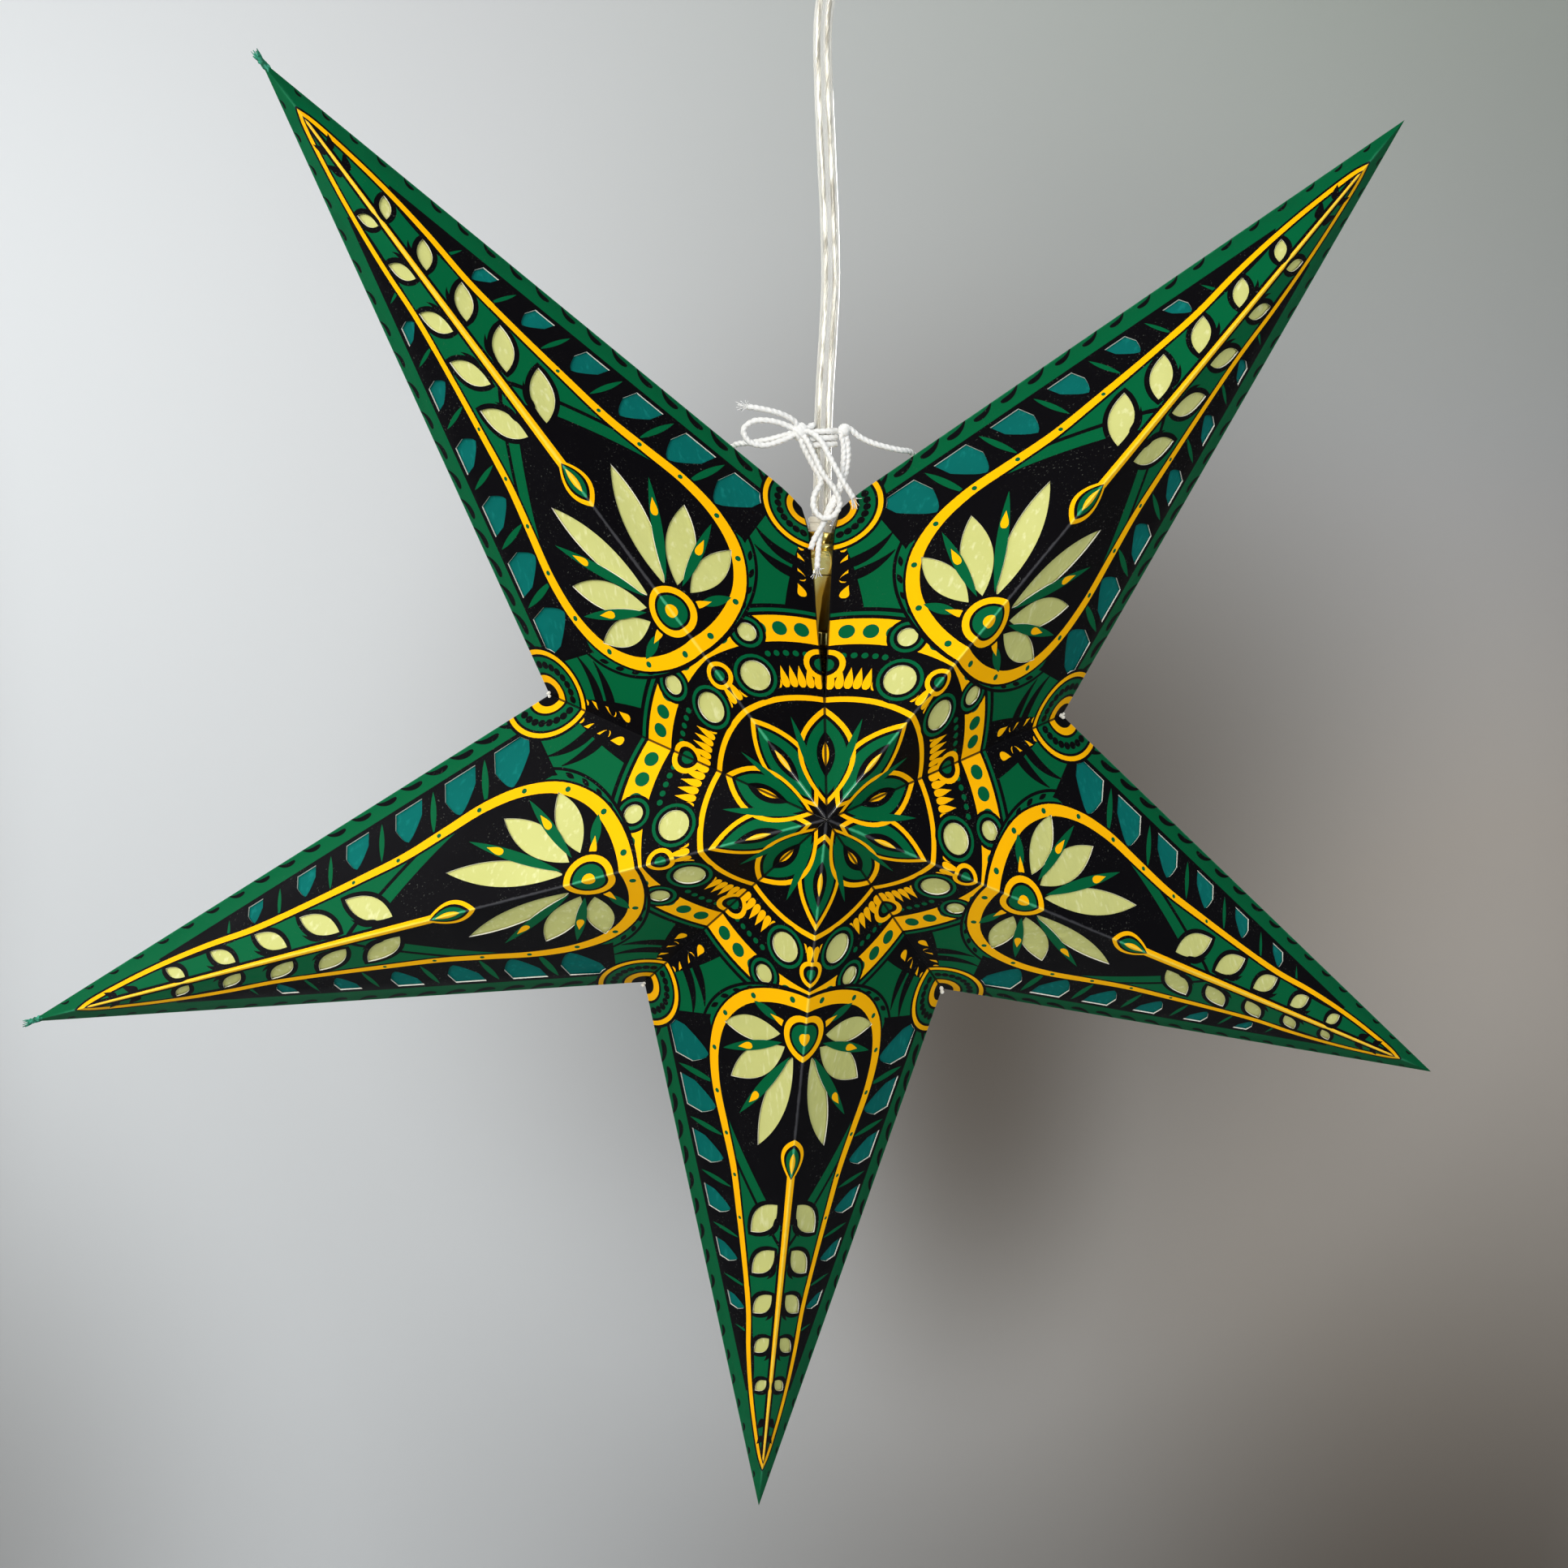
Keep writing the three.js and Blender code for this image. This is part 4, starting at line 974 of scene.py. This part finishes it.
carried_by(spun("holder_dome_gold", dome_outline, gold, centre=star), "lamp", "holder_dome")
shell_outline = [(shell_bore, 36), (thread_radius, 36)]
for i in range(9):
    height = 37.2 + 2.05 * i
    shell_outline += [(thread_radius, height), (thread_radius - 0.35, height + 0.5),
                      (thread_radius - 0.35, height + 1), (thread_radius, height + 1.5)]
shell_outline += [(thread_radius, 56.3), (holder_radius, 56.3), (holder_radius, 75.7), (shell_bore, 75.7)]
carried_by(spun("holder_shell_gold", shell_outline, gold, centre=star), "lamp",
           "holder_shell")
ring = spun("holder_ring_gold", [(13.4, 51), (15.6, 51), (16, 51.4), (16, 55.6), (15.6, 56), (13.4, 56)],
            gold, 120, star)
knurls = 40
for vert in ring.data.vertices:
    spoke = Vector((vert.co.x, vert.co.y, 0))
    if spoke.length > 0.0155:
        groove = max(0, math.cos(knurls * math.atan2(spoke.y, spoke.x))) ** 2
        vert.co -= spoke.normalized() * 0.0004 * groove
carried_by(ring, "shade_ring", "holder_ring")
clear = Finish("clear_grip", "#f5f1e4", 0.12, Specular_IOR_Level=0.9)
clear.mottled(200, "#fbf8ec", "#ddd5bd")
clear.paint(Alpha=0.6)
neck_outline = [(0, 91), (4.2, 91), (4.2, 93), (3.7, 93.3), (3.7, 93.7), (4.2, 94), (4.2, 95.5),
                (3.7, 96), (0, 96)]
carried_by(spun("holder_neck_clear", neck_outline, clear, 64, star), "lamp",
           "holder_neck")

# Inside the shell an insulating core carries the brass contact that the bulb's tip presses on.
ivory = Finish("ivory_moulding", "#efece2", 0.45)
ivory.mottled(60, "#f3f0e7", "#e2ddce")
ivory.rough(ivory.cloud(700), 0.0002)
core_radius_out = shell_bore - 0.3
core_outline = [(7.6, 36.8), (core_radius_out, 36.8), (core_radius_out, 72), (3, 72), (3, 62), (7.6, 62)]
carried_by(spun("holder_core_ivory", core_outline, ivory, 64, star), "lamp",
           "holder_core")
brass = Finish("bare_brass", "#c8a24c", 0.3, 1.0)
brass.mottled(150, "#d0ab57", "#a98235")
dressed("holder_contact", brass)

# The bulb is a small opal globe cemented into a threaded cap of plated steel, with a brass tip.
plated = Finish("plated_cap", "#b9bcc0", 0.28, 1.0)
plated.mottled(180, "#c6c9cc", "#9da1a6")
plated.paint(Roughness=0.22 + plated.cloud(400, 4) * 0.16)
cap_foot = 36.6
cap_radius = 6.675
ridge_depth = 0.225
ridge_pitch = 2.8
cap_outline = []
for i in range(43):
    height = cap_foot + 19.6 * i / 42
    wave = math.cos(2 * math.pi * (height - cap_foot) / ridge_pitch)
    cap_outline.append((cap_radius + ridge_depth * wave, height))
cap_outline += [(6.45, 56.2), (4.2, 58.6), (0, 58.6), (0, 58.1), (5.95, 55.7), (5.95, cap_foot)]
carried_by(spun("bulb_cap_plated", cap_outline, plated, 64, star), "bulb", "bulb_cap")
tip_outline = [(0, 58.9), (3, 58.9), (2.9, 60), (2.2, 60.8), (0, 60.8)]
carried_by(spun("bulb_tip_brass", tip_outline, brass, 48, star), "bulb", "bulb_tip")
opal = Finish("opal_glass", "#f6f3ea", 0.14, Coat_Weight=0.5)
opal.mottled(40, "#f8f6ef", "#eeeadd")
globe = arc(40, -90, 50, 22.5, -6)
globe_outline = [*globe, (9.6, 24.6), (8.4, 29.3), (8.4, 36.3), (7.5, 36.3), (7.5, 29.3), (8.8, 24.2),
                 *arc(40, -90, 50, 21.6, -6)[::-1]]
carried_by(spun("bulb_glass_opal", globe_outline, opal, 96, star), "bulb", "bulb_glass")


# The ceiling rose is moulded in white plastic: a base plate on two screws with a terminal block,
# a bell-shaped cover that twists on, and a grip that holds the cord where it comes out.
moulded = Finish("white_moulding", "#f0efe9", 0.38)
moulded.mottled(30, "#f4f3ee", "#e6e4db")
moulded.paint(Roughness=0.34 + moulded.cloud(220, 3) * 0.12)
moulded.rough(moulded.cloud(900, 2), 0.0001, 0.4)
rose_radius = 40
rose_wall = 1.8
rose_depth = 46


def cover_line(wall):
    line = [(6.8, -rose_depth + wall), (13.5, -rose_depth + wall)]
    shoulder = Vector((27 - wall, -33 - wall / 2))
    foot = Vector((rose_radius - wall, -18))
    top = Vector(line[-1])
    for i in range(1, 13):
        share = i / 12
        first = top.lerp(shoulder + Vector((1.5, -6)), share)
        second = (shoulder + Vector((1.5, -6))).lerp(foot, share)
        line.append(tuple(first.lerp(second, share)))
    return line + [(rose_radius - wall, -0.3)]


carried_by(spun("rose_cover_moulded", cover_line(0) + cover_line(rose_wall)[::-1], moulded, 128),
           "ceiling_rose", "rose_cover")
flange = -rose_depth + rose_wall + 0.3
grip_outline = [(0, -54), (4.2, -54), (4.6, -53.6), (5.3, -50.8), (5.05, -50.3), (5.75, -48.6),
                (5.6, -48), (6.5, -46), (6.5, flange), (11, flange), (11, flange + 2.5), (0, flange + 2.5)]
carried_by(spun("rose_grip_moulded", grip_outline, moulded, 96), "ceiling_rose",
           "rose_grip")
screw_metal = Finish("screw_metal", "#b4b7ba", 0.3, 1.0)
screw_metal.mottled(250, "#c2c5c8", "#8e9296")
dressed("rose_base", moulded)
dressed("terminal_block", ivory)
dressed("rose_screw_left", screw_metal)
dressed("rose_screw_right", screw_metal)

# A pale floor sweeps up behind the lantern into a backdrop. Painted shade makes the backdrop greyer towards
# the right and in its lower corners, with painted soft shadows of the star, a warmer tint in the painted
# shade behind the star's right side, and a little green at the upper right. Each painted shadow spot has a
# place on the wall, a width, a height and a depth.
sweep_finish = Finish("pale_sweep", "#f3f5f6", 0.9)
rightwards, backwards, upwards = sweep_finish.axes()
on_wall = (backwards * 1.6 - 0.8).within()
# greyer is painted shade: the wall darkens towards the right and lower down, and painted shadow spots are
# added to it.
painted_shade = (rightwards * 0.4 + 0.5).within() * 0.56 + ((upwards + 1.8) * 0.43).within() * 0.13 - 0.085
painted_shadow_spots = (((0.3, -0.7), 0.8, 0.8, 0.48), ((-1.15, -1.75), 0.75, 1.05, 0.62),
               ((0.95, -2), 1.25, 1.25, 0.5), ((0.36, -1.08), 0.25, 0.45, 0.2),
               ((0, -1.8), 0.7, 0.7, 0.17), ((0.3, -0.3), 0.7, 0.7, 0.12),
               ((-1.1, -0.6), 0.35, 1.1, 0.35))
for place, wide, tall, depth in painted_shadow_spots:
    aside = (rightwards - place[0]) / wide
    above = (upwards - place[1]) / tall
    near = (1 - aside * aside - above * above).within()
    painted_shade = painted_shade + near * near * depth
# warmer tints the painted shade behind the star's right side towards brown.
warm_shade_tint = rightwards.within() * 1.3 * (upwards * -1.6 - 0.2).within() * (upwards * 1.2 + 2.5).within()
greener = (rightwards * 1.1 + 0.3).within() * (upwards * 1.5 + 0.3).within()
pale = sweep_finish.between(warm_shade_tint.within() * on_wall, tone("#f3f5f6"), tone("#fdf4ea"))
pale = sweep_finish.between(greener * on_wall, pale, tone("#edf8ee"))
sweep_finish.paint(Base_Color=sweep_finish.between(painted_shade.within() * on_wall, pale, tone("#453620")))
bm = bmesh.new()
floor_height = -2.4
sweep_half_width = 30
sweep_front = -30
sweep_rise = 22
sweep_radius = 0.5
wall_distance = 1.15
line = [bm.verts.new((-sweep_half_width, sweep_front, floor_height)),
        bm.verts.new((-sweep_half_width, wall_distance - sweep_radius, floor_height))]
bm.edges.new(line)
curve_centre = (0, wall_distance - sweep_radius, floor_height + sweep_radius)
curve = bmesh.ops.spin(bm, geom=[line[1]], cent=curve_centre, axis=(1, 0, 0), angle=math.pi / 2,
                       steps=24)["geom_last"]
top = bmesh.ops.extrude_vert_indiv(bm, verts=[v for v in curve if isinstance(v, bmesh.types.BMVert)])
bmesh.ops.translate(bm, vec=(0, 0, sweep_rise), verts=top["verts"])
width = bmesh.ops.extrude_edge_only(bm, edges=bm.edges)["geom"]
bmesh.ops.translate(bm, vec=(2 * sweep_half_width, 0, 0),
                    verts=[v for v in width if isinstance(v, bmesh.types.BMVert)])
sweep = object_of("studio_sweep", bm, [sweep_finish])

# Soft studio light: a big lamp up on the left in front, a small one beside the camera that throws
# the soft shadow behind, a weak one on the right, one for the star's back, one on the backdrop,
# and an even room, which the camera sees paler towards the top.
world = bpy.data.worlds.new("studio")
world.use_nodes = True
room = world.node_tree.nodes["Background"]
room.inputs["Color"].default_value = tone("#dfe3e6")
eye_share = world.node_tree.nodes.new("ShaderNodeMapRange")
eye_share.inputs["To Min"].default_value = 0.47
light_path = world.node_tree.nodes.new("ShaderNodeLightPath")
world.node_tree.links.new(light_path.outputs["Is Camera Ray"], eye_share.inputs["Value"])
direction = world.node_tree.nodes.new("ShaderNodeTexCoord")
level = world.node_tree.nodes.new("ShaderNodeSeparateXYZ")
world.node_tree.links.new(direction.outputs["Generated"], level.inputs[0])
paler_up = world.node_tree.nodes.new("ShaderNodeMapRange")
paler_up.inputs["From Max"].default_value = 0.6
paler_up.inputs["To Min"].default_value = 0.415
paler_up.inputs["To Max"].default_value = 0.62
world.node_tree.links.new(level.outputs["Z"], paler_up.inputs["Value"])
world.node_tree.links.new(paler_up.outputs[0], eye_share.inputs["To Max"])
world.node_tree.links.new(eye_share.outputs[0], room.inputs["Strength"])
bpy.context.scene.world = world


def lamp(name, place, aim, size, power, code, spread=180):
    data = bpy.data.lights.new(name, "AREA")
    data.size = size
    data.spread = math.radians(spread)
    data.energy = power
    data.color = tone(code)[:3]
    light = bpy.data.objects.new(name, data)
    light.location = place
    light.rotation_euler = (Vector(aim) - Vector(place)).to_track_quat("-Z", "Y").to_euler()
    light.visible_camera = False
    bpy.context.collection.objects.link(light)


lamp("key", (-1.3, -1.5, 0.75), star, 0.9, 18, "#fffaf2")
lamp("front", star - eye_ahead * 0.95 - eye_right * 0.27 + eye_up * 0.15, star, 0.22, 4.6, "#fffdf8")
lamp("fill", (1.6, -1.4, -0.2), star, 1.4, 11, "#f4f7ff")
lamp("behind", (0.45, 1.02, -0.05), star, 0.5, 2.4, "#fffaf4", 60)
lamp("backdrop", (-0.95, 0, 0.1), (-0.5, wall_distance, -0.4), 0.5, 5.5, "#f7fbff")
bpy.context.scene.view_settings.view_transform = "Standard"
